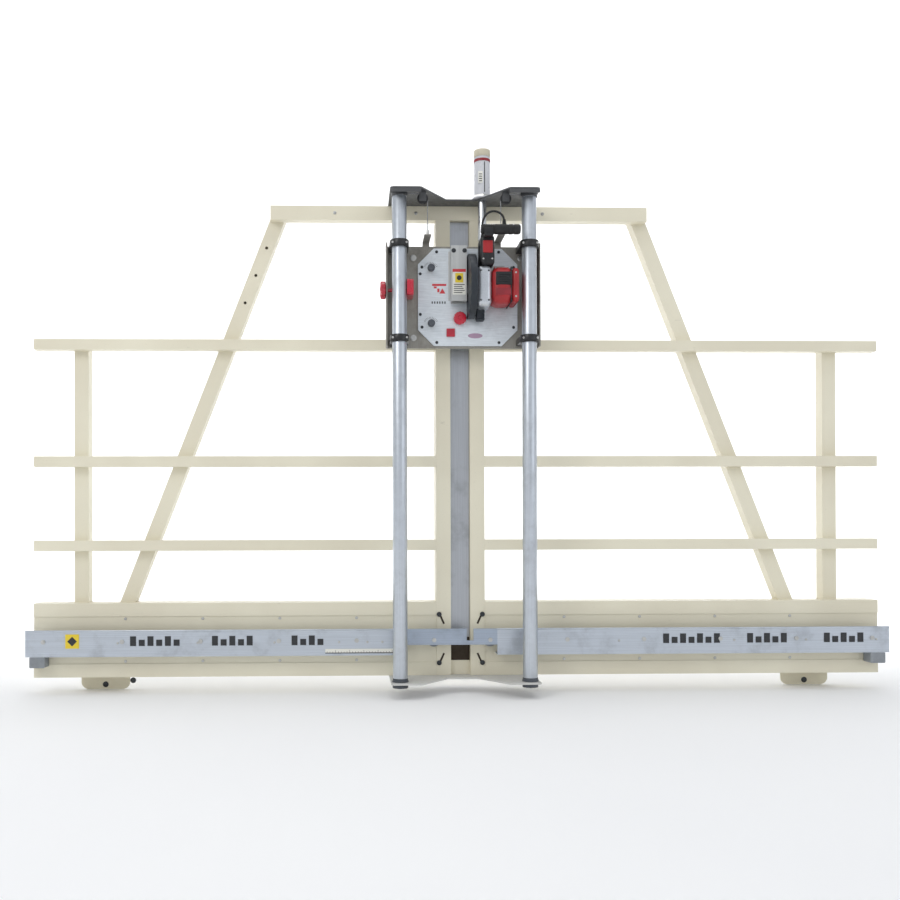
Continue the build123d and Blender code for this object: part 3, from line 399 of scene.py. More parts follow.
def pick_edges(piece, wanted):
    """Opens a piece and selects the edges whose two ends pass the test."""
    edit(piece, "EDGE")
    bpy.ops.object.mode_set(mode="OBJECT")
    points = piece.data.vertices
    for line in piece.data.edges:
        line.select = wanted(points[line.vertices[0]].co, points[line.vertices[1]].co)
    bpy.ops.object.mode_set(mode="EDIT")


def block(name, low, high, edge=0.0008, segments=2):
    """A plate or bar between two corners with rounded edges."""
    clear()
    low, high = Vector(low), Vector(high)
    bpy.ops.mesh.primitive_cube_add(size=1.0, location=(low + high) / 2)
    piece = bpy.context.object
    piece.name = name
    piece.scale = high - low
    settle(piece)
    bpy.ops.object.mode_set(mode="EDIT")
    bpy.ops.mesh.select_all(action="SELECT")
    bpy.ops.mesh.bevel(offset=edge, segments=segments, affect="EDGES")
    clear()
    return piece


def turned(name, start, axis, radius, steps, sides=40):
    """A turned piece: a disc at start, drawn out along the axis by steps of (radius, distance)."""
    clear()
    bpy.ops.mesh.primitive_circle_add(vertices=sides, radius=radius, fill_type="NGON", location=(0, 0, 0))
    piece = bpy.context.object
    piece.name = name
    bpy.ops.object.mode_set(mode="EDIT")
    bpy.ops.mesh.select_mode(type="FACE")
    bpy.ops.mesh.select_all(action="SELECT")
    height = 0.0
    for wide, rise in steps:
        bpy.ops.mesh.extrude_region_move(TRANSFORM_OT_translate={"value": (0, 0, rise)})
        height += rise
        share = wide / radius
        bpy.ops.transform.resize(value=(share, share, 1.0), center_override=(0, 0, height))
        radius = wide
    bpy.ops.mesh.select_all(action="SELECT")
    bpy.ops.mesh.normals_make_consistent(inside=False)
    clear()
    piece.rotation_mode = "QUATERNION"
    piece.rotation_quaternion = UP.rotation_difference(Vector(axis))
    piece.location = start
    settle(piece)
    return piece


def copied(piece, name, shift, turn=0.0, centre=(0, 0, 0)):
    """A copy with its own mesh, turned about a centre in the machine's plane and then moved."""
    twin = piece.copy()
    twin.data = piece.data.copy()
    twin.name = name
    bpy.context.scene.collection.objects.link(twin)
    about = Matrix.Translation(centre) @ Matrix.Rotation(turn, 4, "Y") @ Matrix.Translation(-Vector(centre))
    twin.data.transform(Matrix.Translation(shift) @ about)
    return twin


def joined(name, pieces):
    """Several shapes made one piece."""
    clear()
    for piece in pieces:
        piece.select_set(True)
    bpy.context.view_layer.objects.active = pieces[0]
    if len(pieces) > 1:
        bpy.ops.object.join()
    piece = bpy.context.view_layer.objects.active
    piece.name = name
    clear()
    return piece


def complete(piece, body, surface, replaces=()):
    """Gives a piece its finish, smooths its round faces and fixes it to a body."""
    piece.data.materials.clear()
    piece.data.materials.append(finish(surface))
    only(piece)
    bpy.ops.object.shade_smooth_by_angle(angle=SMOOTH_ANGLE)
    clear()
    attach(piece, body)
    if replaces:
        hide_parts(*replaces)


def united(name, pieces, body, surface, replaces=()):
    """Several shapes as one finished piece."""
    complete(joined(name, pieces), body, surface, replaces)


def hex_head(name, spot, across, height):
    """A hexagon head on a washer face, looking forward."""
    flat, rim = across * 0.62, across * 0.78
    head = turned(name, spot, FRONT, flat, [(flat, height * 0.85), (across * 0.52, height * 0.15)], 6)
    ring_steps = [(rim, height * 0.18), (across * 0.7, 0.0003)]
    ring = turned(name + "_washer", spot, FRONT, rim, ring_steps, 24)
    return joined(name, [head, ring])


def pan_head(name, spot, radius, height):
    """A round head with a driver recess, looking forward."""
    steps = [(radius, height * 0.4), (radius * 0.86, height * 0.35), (radius * 0.55, height * 0.25)]
    steps += [(radius * 0.3, 0.0), (radius * 0.24, -height * 0.5)]
    return turned(name, spot, FRONT, radius, steps, 20)


def spread(name, first, spots, body, surface):
    """One small shape copied from the first spot to the others, and joined."""
    start = Vector(spots[0])
    rest = [copied(first, f"{name}_{i}", Vector(spot) - start) for i, spot in enumerate(spots[1:])]
    united(name, [first, *rest], body, surface)


def pans(name, spots, radius, height, body, surface="bolt"):
    """Round screw heads at several spots."""
    spread(name, pan_head(name, spots[0], radius, height), spots, body, surface)


def hexes(name, spots, across, height, body):
    """Dark hexagon bolt heads at several spots."""
    spread(name, hex_head(name, spots[0], across, height), spots, body, "dark_bolt")


# ---------------------------------------------------------------- CAD nodes
NODE_FINISHES = {
    "cream": ("top_rail", "support_rails", "side_uprights", "diagonal_braces", "centre_column", "base_panels",
              "foot_plates"),
    "strip": ("column_strip",),
    "plate": ("bottom_plate",),
    "dark_paint": ("top_plate", "pulley_brackets"),
    "tube": ("guide_tubes",),
    "fence": ("fence_rails",),
    "bridge": ("fence_bridge",),
    "grey": ("fence_blocks",),
    "bolt": ("roller_bolts", "base_screws", "frame_bolts", "plunger_barrels", "arbor"),
    "bar": ("counterweight_left", "counterweight_right"),
    "cap": ("tube_plugs",),
    "nylon": ("pulley_left", "pulley_right", "guide_bearings"),
    "white": ("stop_tube",),
    "cream_cap": ("stop_cap",),
    "pale_rod": ("stop_rod",),
    "zinc": ("carriage_plate", "retaining_ring"),
    "table": ("turntable_plate",),
    "chute": ("dust_chute",),
    "knob": ("lock_shoe",),
    "guard": ("upper_guard",),
    "steel": ("blade",),
}


def dress_nodes():
    """Finishes and rounds the edges of the nodes that keep their CAD shape."""
    for surface, names in NODE_FINISHES.items():
        for name in names:
            dress(name, surface)
    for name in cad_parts:
        if name.startswith("roller_") and name != "roller_bolts":
            dress(name, "grey")


def dress(name, surface):
    """One CAD node: its finish, its loose triangles welded and its sharp edges eased."""
    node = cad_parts[name]
    node.data.materials.clear()
    node.data.materials.append(finish(surface))
    for face in node.data.polygons:
        face.material_index = 0
    weld = node.modifiers.new("weld", "WELD")
    weld.merge_threshold = 0.00001
    flat = node.modifiers.new("flat_faces", "DECIMATE")
    flat.decimate_type = "DISSOLVE"
    flat.angle_limit = math.radians(0.5)
    ease = node.modifiers.new("eased_edges", "BEVEL")
    ease.width = sizes().edge
    ease.segments = 2
    ease.limit_method = "ANGLE"
    ease.angle_limit = math.radians(38)
    ease.harden_normals = True


# ---------------------------------------------------------------- stage
FLOOR_SIZE = (26, 12, 1)
BACKDROP_HEIGHT = 12
BACKDROP_CURVE = 3.0
# each light's name, place, size, power and colour
LIGHTS = (
    ("key_light", (-3.2, -3.6, 3.6), 2.0, 54, (1.0, 0.98, 0.95)),
    ("fill_light", (3.8, -3.4, 2.0), 2.6, 18, (0.93, 0.96, 1.0)),
    ("top_light", (0.2, -0.6, 4.6), 2.4, 30, (1.0, 1.0, 1.0)),
    ("backdrop_light_left", (-4.6, 1.2, 3.2), 3.0, 260, (1.0, 1.0, 1.0)),
    ("backdrop_light_right", (4.6, 1.2, 3.2), 3.0, 260, (1.0, 1.0, 1.0)),
)
MACHINE_AIM = Vector((0, 0, 0.9))
WORLD_COLOUR = (0.92, 0.95, 1.0, 1.0)
WORLD_STRENGTH = 0.66
CAMERA_PLACE = (-0.388, -3.581, 0.576)
CAMERA_TURN = math.radians(-1.52)
CAMERA_TILT = math.radians(90.23)
CAMERA_ROLL = math.radians(-0.14)
CAMERA_SHIFT = (0.0795, 0.0802)


def build_stage():
    """A pale floor that curves up behind, soft lights on the machine and the backdrop, and the camera."""
    ground = CAD_BOX[0].z - 0.001
    clear()
    bpy.ops.mesh.primitive_plane_add(size=1.0, location=(0, 0, ground))
    floor = bpy.context.object
    floor.name = "floor"
    floor.scale = FLOOR_SIZE
    settle(floor)
    far = max(point.co.y for point in floor.data.vertices)
    pick_edges(floor, lambda a, b: a.y > far - 0.01 and b.y > far - 0.01)
    bpy.ops.mesh.extrude_region_move(TRANSFORM_OT_translate={"value": (0, 0, BACKDROP_HEIGHT)})
    clear()
    pick_edges(floor, lambda a, b: all(p.y > far - 0.01 and p.z < ground + 0.01 for p in (a, b)))
    bpy.ops.mesh.bevel(offset=BACKDROP_CURVE, segments=16, affect="EDGES")
    clear()
    only(floor)
    bpy.ops.object.shade_smooth()
    paper = Graph("studio_floor")
    soft = paper.fade(paper.noise(0.6, detail=2.0), 0.3, 0.7)
    paper.set(Base_Color=paper.mix(soft, (0.95, 0.95, 0.945, 1.0), (0.93, 0.93, 0.93, 1.0)), Roughness=0.9)
    floor.data.materials.append(paper.material)
    for name, spot, size, power, tint in LIGHTS:
        light = bpy.data.lights.new(name, "AREA")
        light.shape = "SQUARE"
        light.size = size
        light.energy = power
        light.color = tint
        lamp = bpy.data.objects.new(name, light)
        lamp.location = spot
        target = Vector((0.87 * spot[0], 8, 1)) if name.startswith("backdrop") else MACHINE_AIM
        lamp.rotation_euler = (target - Vector(spot)).to_track_quat("-Z", "Y").to_euler()
        bpy.context.scene.collection.objects.link(lamp)
    world = bpy.data.worlds.new("studio")
    world.use_nodes = True
    world.node_tree.nodes["Background"].inputs[0].default_value = WORLD_COLOUR
    world.node_tree.nodes["Background"].inputs[1].default_value = WORLD_STRENGTH
    bpy.context.scene.world = world
    bpy.context.scene.view_settings.view_transform = "Standard"
    camera = bpy.data.objects.new("camera", bpy.data.cameras.new("camera"))
    camera.location = CAMERA_PLACE
    heading = Matrix.Rotation(CAMERA_TURN, 4, "Z") @ Matrix.Rotation(CAMERA_TILT, 4, "X")
    camera.rotation_euler = (heading @ Matrix.Rotation(CAMERA_ROLL, 4, "Z")).to_euler()
    camera.data.lens = sizes().lens
    camera.data.sensor_width = 36.0
    camera.data.shift_x, camera.data.shift_y = CAMERA_SHIFT
    bpy.context.scene.collection.objects.link(camera)
    bpy.context.scene.camera = camera


# ---------------------------------------------------------------- cords
# a share of the span to the side, a share of it forward, and the rise in metres
LEAD_STEPS = (
    (0.0, 0.0, 0.017),
    (-0.04, 0.27, 0.035),
    (-0.01, 0.45, 0.054),
    (0.12, 0.6, 0.071),
    (0.35, 0.7, 0.081),
    (0.62, 0.8, 0.081),
    (0.86, 0.92, 0.071),
    (1.0, 1.0, 0.055),
)
LEAD_LEFT_OF_TRIGGER = 0.014
LEAD_AHEAD_OF_HANDLE = 0.060
PLUG_INLET = 0.079
GRIP_RING = (0.004, 0.0008, 0.0018, 0.0008)
GRIP_RINGS = 5
GRIP_DIP = 0.93
ROPE_RADIUS = 0.0015
ROPE_LENGTHS = 12
PULLEY_WRAP = 0.017
WRAP_TURNS = [math.radians(turn) for turn in range(0, 91, 15)]
ROPE_CLAMP = ((0.006, 0.004), (0.0045, 0.001), (0.0045, 0.012), (0.0035, 0.001))


def laid(name, kind, path, radius, surface):
    """A round curve along a path."""
    line = bpy.data.curves.new(name, "CURVE")
    line.dimensions = "3D"
    spline = line.splines.new(kind)
    spline.points.add(len(path) - 1)
    for point, place in zip(spline.points, path):
        point.co = (*place, 1.0)
    line.bevel_depth = radius
    line.materials.append(finish(surface))
    cord = bpy.data.objects.new(name, line)
    bpy.context.scene.collection.objects.link(cord)
    return cord


def relief_steps(start, end, length, rings=5):
    """The ribs of a tapered strain relief."""
    steps = []
    for i in range(rings):
        wide = start + (end - start) * i / (rings - 1)
        waist = wide * 0.86
        steps += [(wide, length / rings * 0.55), (waist, 0.0), (waist, length / rings * 0.45), (wide, 0.0)]
    return steps[:-1]


def build_lead():
    """The saw's own lead, from the handle's top over to its plug."""
    handle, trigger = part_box("saw_handle"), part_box("saw_trigger")
    plug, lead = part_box("saw_plug"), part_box("saw_lead")
    leave_x = (trigger[0].x + trigger[1].x) / 2 - LEAD_LEFT_OF_TRIGGER
    leave = Vector((leave_x, handle[1].y - LEAD_AHEAD_OF_HANDLE, lead[0].z))
    enter = Vector((plug[0].x + PLUG_INLET, (plug[0].y + plug[1].y) / 2, plug[1].z))
    span = enter - leave
    route = [leave]
    route += [leave + Vector((span.x * side, span.y * ahead, rise)) for side, ahead, rise in LEAD_STEPS]
    route.append(enter)
    cord = laid("saw_lead_sheath", "NURBS", route, sizes().lead_radius, "rubber")
    spline = cord.data.splines[0]
    spline.order_u = 3
    spline.use_endpoint_u = True
    spline.resolution_u = 12
    cord.data.bevel_resolution = 4
    cord.data.use_fill_caps = True
    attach(cord, "turntable")
    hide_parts("saw_lead")
    relief = turned("lead_strain_relief", leave, UP, 0.0075, relief_steps(0.0075, 0.0052, 0.012), 28)
    complete(relief, "turntable", "rubber")
    inlet = turned("lead_plug_relief", enter, UP, 0.0068, relief_steps(0.0068, 0.005, 0.014), 28)
    complete(inlet, "turntable", "rubber")


def build_coupler():
    """The lead's plug with its ribbed grip and inlet, and the connector it sits in."""
    low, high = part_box("saw_plug")
    middle_y = (low.y + high.y) / 2
    radius = (high.y - low.y) / 2
    middle_z = low.z + radius
    waist = radius * GRIP_DIP
    flat, fall, gap, climb = GRIP_RING
    steps = [(waist, 0.004), (radius, 0.006)]
    for _ in range(GRIP_RINGS):
        steps += [(radius, flat), (waist, fall), (waist, gap), (radius, climb)]
    used = 0.010 + GRIP_RINGS * sum(GRIP_RING)
    steps += [(radius, high.x - low.x - used - 0.008), (radius * 0.96, 0.008)]
    body = turned("plug_tube", (low.x, middle_y, middle_z), RIGHT, radius * 0.8, steps, 48)
    boss_foot = middle_z + radius * 0.8
    boss_steps = [(0.0075, high.z - boss_foot - 0.001), (0.0062, 0.001)]
    boss = turned("plug_boss", (low.x + PLUG_INLET, middle_y, boss_foot), UP, 0.0085, boss_steps, 28)
    united("plug_body", [body, boss], "turntable", "rubber", ["saw_plug"])
    low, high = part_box("saw_connector")
    steps = [(radius * 0.98, 0.003), (radius, 0.001), (radius, 0.012), (radius * 0.9, 0.001)]
    steps += [(radius * 0.9, 0.003), (radius, 0.001), (radius, high.x - low.x - 0.027)]
    steps += [(radius * 0.94, 0.003), (radius * 0.8, 0.003)]
    shell = turned("connector_body", (low.x, middle_y, middle_z), RIGHT, radius * 0.9, steps, 48)
    complete(shell, "turntable", "rubber", ["saw_connector"])


def rope_length(name, bottom, height):
    """A straight length of wire rope that hangs from the frame."""
    steps = [(ROPE_RADIUS, height / ROPE_LENGTHS)] * ROPE_LENGTHS
    rope = turned(name, bottom, UP, ROPE_RADIUS, steps, 12)
    rope.data.materials.append(finish("rope"))
    only(rope)
    bpy.ops.object.shade_smooth_by_angle(angle=math.radians(50))
    clear()
    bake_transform(rope)


def build_ropes():
    """Each lift rope in three lengths: carriage to pulley, over the pulley, and down to its weight."""
    cables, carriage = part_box("lift_cables"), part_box("carriage_plate")
    for side, sign in (("left", -1), ("right", 1)):
        pulley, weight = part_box(f"pulley_{side}"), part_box(f"counterweight_{side}")
        axle = (pulley[0] + pulley[1]) / 2
        reach = sign * PULLEY_WRAP
        anchor = Vector((axle.x - reach, axle.y, carriage[1].z))
        rope_length(f"lift_rope_{side}", anchor, axle.z - anchor.z)
        hook = Vector(((weight[0].x + weight[1].x) / 2, axle.y, weight[1].z))
        drop = cables[1].z - ROPE_RADIUS - PULLEY_WRAP - hook.z
        rope_length(f"weight_rope_{side}", hook, drop)
        path = [
            axle + Vector((-reach * math.cos(turn), 0, PULLEY_WRAP * math.sin(turn)))
            for turn in WRAP_TURNS
        ]
        corner = Vector((hook.x - reach, axle.y, axle.z + PULLEY_WRAP))
        path += [
            corner + Vector((reach * math.sin(turn), 0, -PULLEY_WRAP * (1 - math.cos(turn))))
            for turn in WRAP_TURNS
        ]
        over = laid(f"over_rope_{side}", "POLY", path, ROPE_RADIUS, "rope")
        over.data.bevel_resolution = 3
        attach(over, "root")
        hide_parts("lift_cables")
        clamp = turned(f"rope_clamp_{side}", anchor, UP, ROPE_CLAMP[0][0], ROPE_CLAMP, 20)
        complete(clamp, "carriage", "bolt")


# ---------------------------------------------------------------- fence
# each group of graduations: its left end and its count
GRADUATIONS = ((-1.172, 6), (-0.885, 5), (-0.605, 4), (0.719, 7), (1.022, 5), (1.300, 5))
GRADUATION_PITCH = 0.0305
GRADUATION_WIDTH = 0.021
GRADUATION_FOOT = 0.156
GRADUATION_HEIGHTS = (0.034, 0.022)
FILM_SIDES = (-1.398, -1.350)
FILM_ENDS = (0.148, 0.198)
FILM_MARK = 0.017
RIVETS = (-0.437, -0.337, -0.284, -1.215, -0.935, -0.665, 0.56, 0.975, 1.235, 1.49)
RIVET_LEVEL = 0.166
SCALE_SIDES = (-0.486, -0.236)
SCALE_FOOT = 0.011
SCALE_CENTIMETRES = range(-48, -23)


def decal(name, face, sides, ends, proud=1, sunk=1, edge=0.0001):
    """A printed bar or film on a face that looks forward: its left and right, its foot and head."""
    lift = sizes().print_height
    low = (sides[0], face - proud * lift, ends[0])
    return block(name, low, (sides[1], face + sunk * lift, ends[1]), edge, 1)


def build_fence_marks():
    """Graduations printed on the fence, a small coloured film, rivets and a scale."""
    low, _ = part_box("fence_rails")
    face, lift = low.y, sizes().print_height
    bars = []
    for start, count in GRADUATIONS:
        for i in range(count):
            left = start + i * GRADUATION_PITCH
            head = GRADUATION_FOOT + GRADUATION_HEIGHTS[i % 2]
            bars.append(decal("bar", face, (left, left + GRADUATION_WIDTH), (GRADUATION_FOOT, head)))
    united("fence_graduations", bars, "root", "ink")
    complete(decal("fence_film", face, FILM_SIDES, FILM_ENDS), "root", "yellow")
    middle = (sum(FILM_SIDES) / 2, face - lift, sum(FILM_ENDS) / 2)
    complete(turned("fence_film_mark", middle, FRONT, FILM_MARK, [(FILM_MARK, lift)], 4), "root", "ink")
    pans("fence_rivets", [(x, face, RIVET_LEVEL) for x in RIVETS], 0.0042, 0.0018, "root")
    backing = decal("fence_scale_strip", face, SCALE_SIDES, (low.z + 0.010, low.z + 0.024))
    complete(backing, "root", "label")
    line = decal("fence_scale_line", face, SCALE_SIDES, (low.z + 0.008, low.z + SCALE_FOOT), 2, 0)
    complete(line, "root", "ink")
    ticks = []
    for mark in SCALE_CENTIMETRES:
        left, head = mark / 100, low.z + (0.019 if mark % 5 == 0 else 0.015)
        ticks.append(decal("tick", face, (left, left + 0.0012), (low.z + SCALE_FOOT, head), 2, 0))
    united("fence_scale_ticks", ticks, "root", "ink")


# ---------------------------------------------------------------- base and column
RAIL = 0.0381
TOP_RAIL = 0.0508
MIDDLE_RAIL = 0.809
CAP_DEPTH = 0.014
CAP_SINK = 0.0006
CAP_WALL = 0.0021
POST_CENTRES = (1.365, 1.200)
POST_WELD = 0.048
WELD_RIPPLES = 12
SLOT_HALF = Vector((0.0035, 0.0004, 0.019))
SLOT_X = 0.068
SLOT_FROM_EDGE = 0.058
SLOT_LEAN = math.radians(24)
MOUTH_HALF = 0.0335
MOUTH_BACK = 0.0232
FOOT_BOLTS = ((-1.292, 0.0), (1.292, 0.0), (-1.192, 0.014))
FOOT_FACE = -0.0052
RAIL_SCREWS = (-0.158, 0.30, -0.45)
RAIL_SCREW_LEVEL = 1.703
COLUMN_BOLT_X = 0.078
COLUMN_BOLT_FROM_EDGE = 0.045
TUBE_X = 0.225
TUBE_COLLAR = ((0.0288, 0.001), (0.0288, 0.013), (0.0275, 0.0019))
TUBE_RIM = ((0.0285, 0.004), (0.0268, 0.0015), (0.0262, 0.006), (0.0256, 0.001))


def build_base_details():
    """Thin dark sheets of painted shade for the slots beside the column bolts and the open mouth below the
    strip, and washers on the feet.
    """
    panel, column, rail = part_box("base_panels"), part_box("centre_column"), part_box("top_rail")
    face = panel[0].y
    middle = Vector((0, face, 0))
    # each slot is a thin dark sheet on the panel's face: painted shade standing in for the slot's depth
    slot_shade = block("slot_shade", middle - SLOT_HALF, middle + SLOT_HALF, 0.0003, 2)
    slot_shades = []
    for sign in (-1, 1):
        for height, lean in ((panel[1].z - SLOT_FROM_EDGE, 1), (panel[0].z + SLOT_FROM_EDGE, -1)):
            spot = Vector((sign * SLOT_X, 0, height - lean * 0.004))
            slot_shades.append(copied(slot_shade, "slot_shade_copy", spot, SLOT_LEAN * sign * lean, middle))
    bpy.data.objects.remove(slot_shade)
    united("column_slot_shades", slot_shades, "root", "hollow_painted_shade")
    # the mouth is a dark sheet set back inside the column: painted shade standing in for the open mouth
    back = column[0].y + MOUTH_BACK
    mouth_shade_low = (-MOUTH_HALF, back, column[0].z + 0.051)
    mouth_shade = block("chip_mouth_shade", mouth_shade_low, (MOUTH_HALF, back + 0.002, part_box("column_strip")[0].z), 0.0004, 2)
    complete(mouth_shade, "root", "hollow_painted_shade")
    washer = ((0.0105, 0.0012), (0.0092, 0.0006))
    washers = [turned("washer", (x, FOOT_FACE, z), FRONT, 0.0105, washer, 28) for x, z in FOOT_BOLTS]
    united("foot_washers", washers, "root", "dark_bolt")
    spots = [(x, rail[0].y, RAIL_SCREW_LEVEL) for x in RAIL_SCREWS]
    pans("top_rail_screws", spots, 0.006, 0.0025, "root")


def rail_levels():
    """The middle heights of the three rows of support rails."""
    low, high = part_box("support_rails")
    return high.z - RAIL / 2, MIDDLE_RAIL, low.z + RAIL / 2


def build_end_caps():
    """Push-in caps that close the open ends of the support rails and the top rail."""
    rails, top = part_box("support_rails"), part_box("top_rail")
    middle_y = (rails[0].y + rails[1].y) / 2
    half_depth = RAIL / 2 - CAP_WALL
    ends = [(rails[1].x, z, RAIL) for z in rail_levels()]
    ends.append((top[1].x, (top[0].z + top[1].z) / 2, TOP_RAIL))
    caps = []
    for sign in (-1, 1):
        for x, z, height in ends:
            near, far = sorted((sign * (x - CAP_DEPTH), sign * (x - CAP_SINK)))
            half = height / 2 - CAP_WALL
            low = (near, middle_y - half_depth, z - half)
            caps.append(block("rail_cap", low, (far, middle_y + half_depth, z + half), 0.002, 3))
    united("rail_end_caps", caps, "root", "cream_cap")


def weld_bead(start, axis, length):
    """A short bead with its ripples."""
    steps = [(0.0026 if i % 2 else 0.0021, length / WELD_RIPPLES) for i in range(WELD_RIPPLES)]
    return turned("bead", start, axis, 0.0018, steps, 10)


def build_welds():
    """Welds where the rails meet the column and where the uprights stand on the base."""
    rails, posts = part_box("support_rails"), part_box("side_uprights")
    base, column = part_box("base_panels"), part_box("centre_column")
    beads = []
    for sign in (-1, 1):
        for z in rail_levels():
            start = (sign * column[1].x, rails[0].y + 0.003, z - RAIL / 2)
            beads.append(weld_bead(start, UP, RAIL))
        for x in POST_CENTRES:
            start = (sign * x - POST_WELD / 2, posts[0].y, base[1].z)
            beads.append(weld_bead(start, RIGHT, POST_WELD))
    united("weld_beads", beads, "root", "cream")


def build_frame_hardware():
    """The column's bolt heads, the tubes' collars and foot rims, and the top plate's lips."""
    base, top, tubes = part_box("base_panels"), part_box("top_plate"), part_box("guide_tubes")
    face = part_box("centre_column")[0].y - 0.0036
    heights = (base[0].z + COLUMN_BOLT_FROM_EDGE, base[1].z - COLUMN_BOLT_FROM_EDGE)
    spots = [(sign * COLUMN_BOLT_X, face, z) for sign in (-1, 1) for z in heights]
    hexes("column_bolt_faces", spots, 0.0115, 0.003, "root")
    tube_y = (tubes[0].y + tubes[1].y) / 2
    collars, rims = [], []
    for x in (-TUBE_X, TUBE_X):
        collars.append(turned("collar", (x, tube_y, top[0].z - 0.016), UP, 0.0262, TUBE_COLLAR, 48))
        rims.append(turned("rim", (x, tube_y, 0.0395), UP, 0.0285, TUBE_RIM, 48))
    united("tube_collars", collars, "root", "dark_paint")
    united("tube_foot_rims", rims, "root", "cap")
    lip_low = (-0.256, top[0].y + 0.0005, top[0].z - 0.0125)
    lip = block("top_plate_lip", lip_low, (-0.152, top[0].y + 0.0035, top[0].z))
    united("top_plate_lips", [lip, copied(lip, "lip_copy", (0.408, 0, 0))], "root", "dark_paint")


# ---------------------------------------------------------------- upper stop
STOP_X = 0.075
STOP_RADIUS = 0.0285
STOP_RING = 0.0012
STOP_ROWS = (0.058, 0.066, 0.074, 0.082)


def build_stop():
    """The capped tube over the top plate: a ring, a dark seam, a label and its nut."""
    low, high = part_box("stop_tube")
    x, y = STOP_X, (low.y + high.y) / 2
    front = y - STOP_RADIUS
    proud = STOP_RADIUS + STOP_RING
    ring_steps = [(proud, 0.0006), (proud, 0.0088), (STOP_RADIUS, 0.0006)]
    ring = turned("stop_ring", (x, y, high.z - 0.018), UP, STOP_RADIUS, ring_steps, 48)
    complete(ring, "root", "dark_red")
    seam_low = (x + 0.0035, front - 0.0003, low.z + 0.02)
    seam = block("stop_seam", seam_low, (x + 0.0065, front + 0.002, high.z - 0.022), 0.0002, 1)
    complete(seam, "root", "ink")
    tag_low = (x - 0.017, front - 0.0006, low.z + 0.052)
    tag = block("stop_label", tag_low, (x - 0.001, front + 0.006, low.z + 0.094), 0.0003, 2)
    complete(tag, "root", "label")
    rows = []
    for rise in STOP_ROWS:
        row_low = (x - 0.0150, front - 0.0009, low.z + rise)
        rows.append(block("row", row_low, (x - 0.004, front, low.z + rise + 0.003), 0.0002, 1))
    united("stop_label_rows", rows, "root", "ink")
    foot = turned("stop_nut", (x, y, low.z + 0.0052), UP, 0.0345, [(0.0345, 0.007), (0.0325, 0.0018)], 6)
    complete(foot, "root", "bolt")


# ---------------------------------------------------------------- carriage and turntable
BEARING_HEIGHT = 0.021
BEARING_SCREW_SIDE = 0.024
WIPER = 0.0315
CARRIAGE_FACE = -0.1614
PADS = ((0.208, 1.523), (-0.172, 1.523), (0.212, 1.240), (-0.172, 1.240))
PAD_STEPS = ((0.011, 0.0016), (0.0095, 0.0006), (0.004, 0.0))
TABLE_CORNER = 0.066
ARROW_BARS = (
    ((-0.106, -0.056), (1.4225, 1.4300)),
    ((-0.100, -0.090), (1.414, 1.4210)),
    ((-0.088, -0.080), (1.4005, 1.4135)),
)
INDEX_PLACES = ((-0.111, 1.480), (-0.111, 1.286))
INDEX_SWEEP = range(30, 151, 12)
OVAL_PLACE = Vector((0.046, 0, 1.247))
INDEX_KNOB_LENGTH = 0.018
INDEX_KNOB = (
    (0.0115, 0.0012),
    (0.013, 0.0012),
    (0.013, 0.010),
    (0.0118, 0.0028),
    (0.0085, 0.0018),
    (0.0085, 0.0),
    (0.007, -0.0008),
)


def build_bearings():
    """The split bearings' clamp screws and wipers."""
    low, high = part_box("guide_bearings")
    spots, wipers = [], []
    wiper = ((WIPER, 0.0005), (WIPER, 0.0010))
    wiper_levels = (low.z - 0.0015, low.z + BEARING_HEIGHT, high.z - BEARING_HEIGHT - 0.0015, high.z)
    for x in (-TUBE_X, TUBE_X):
        for z in (low.z, high.z - BEARING_HEIGHT):
            for side in (-BEARING_SCREW_SIDE, BEARING_SCREW_SIDE):
                spots.append((x + side, low.y + 0.0085, z + BEARING_HEIGHT / 2))
        wipers += [turned("wiper", (x, -0.2389, z), UP, 0.0300, wiper, 48) for z in wiper_levels]
    pans("bearing_screws", spots, 0.0038, 0.002, "carriage")
    united("bearing_wipers", wipers, "carriage", "rubber")


def build_carriage_details():
    """Corner screws and round pads on the carriage plate."""
    spots = [(x, CARRIAGE_FACE, z) for x in (-0.200, 0.238) for z in (1.222, 1.545)]
    spots += [(x, CARRIAGE_FACE, z) for x in (-0.240, 0.250) for z in (1.30, 1.46)]
    hexes("carriage_screws", spots, 0.0085, 0.0035, "carriage")
    pads = [turned("pad", (x, CARRIAGE_FACE, z), FRONT, 0.011, PAD_STEPS, 28) for x, z in PADS]
    united("carriage_pads", pads, "carriage", "bolt")


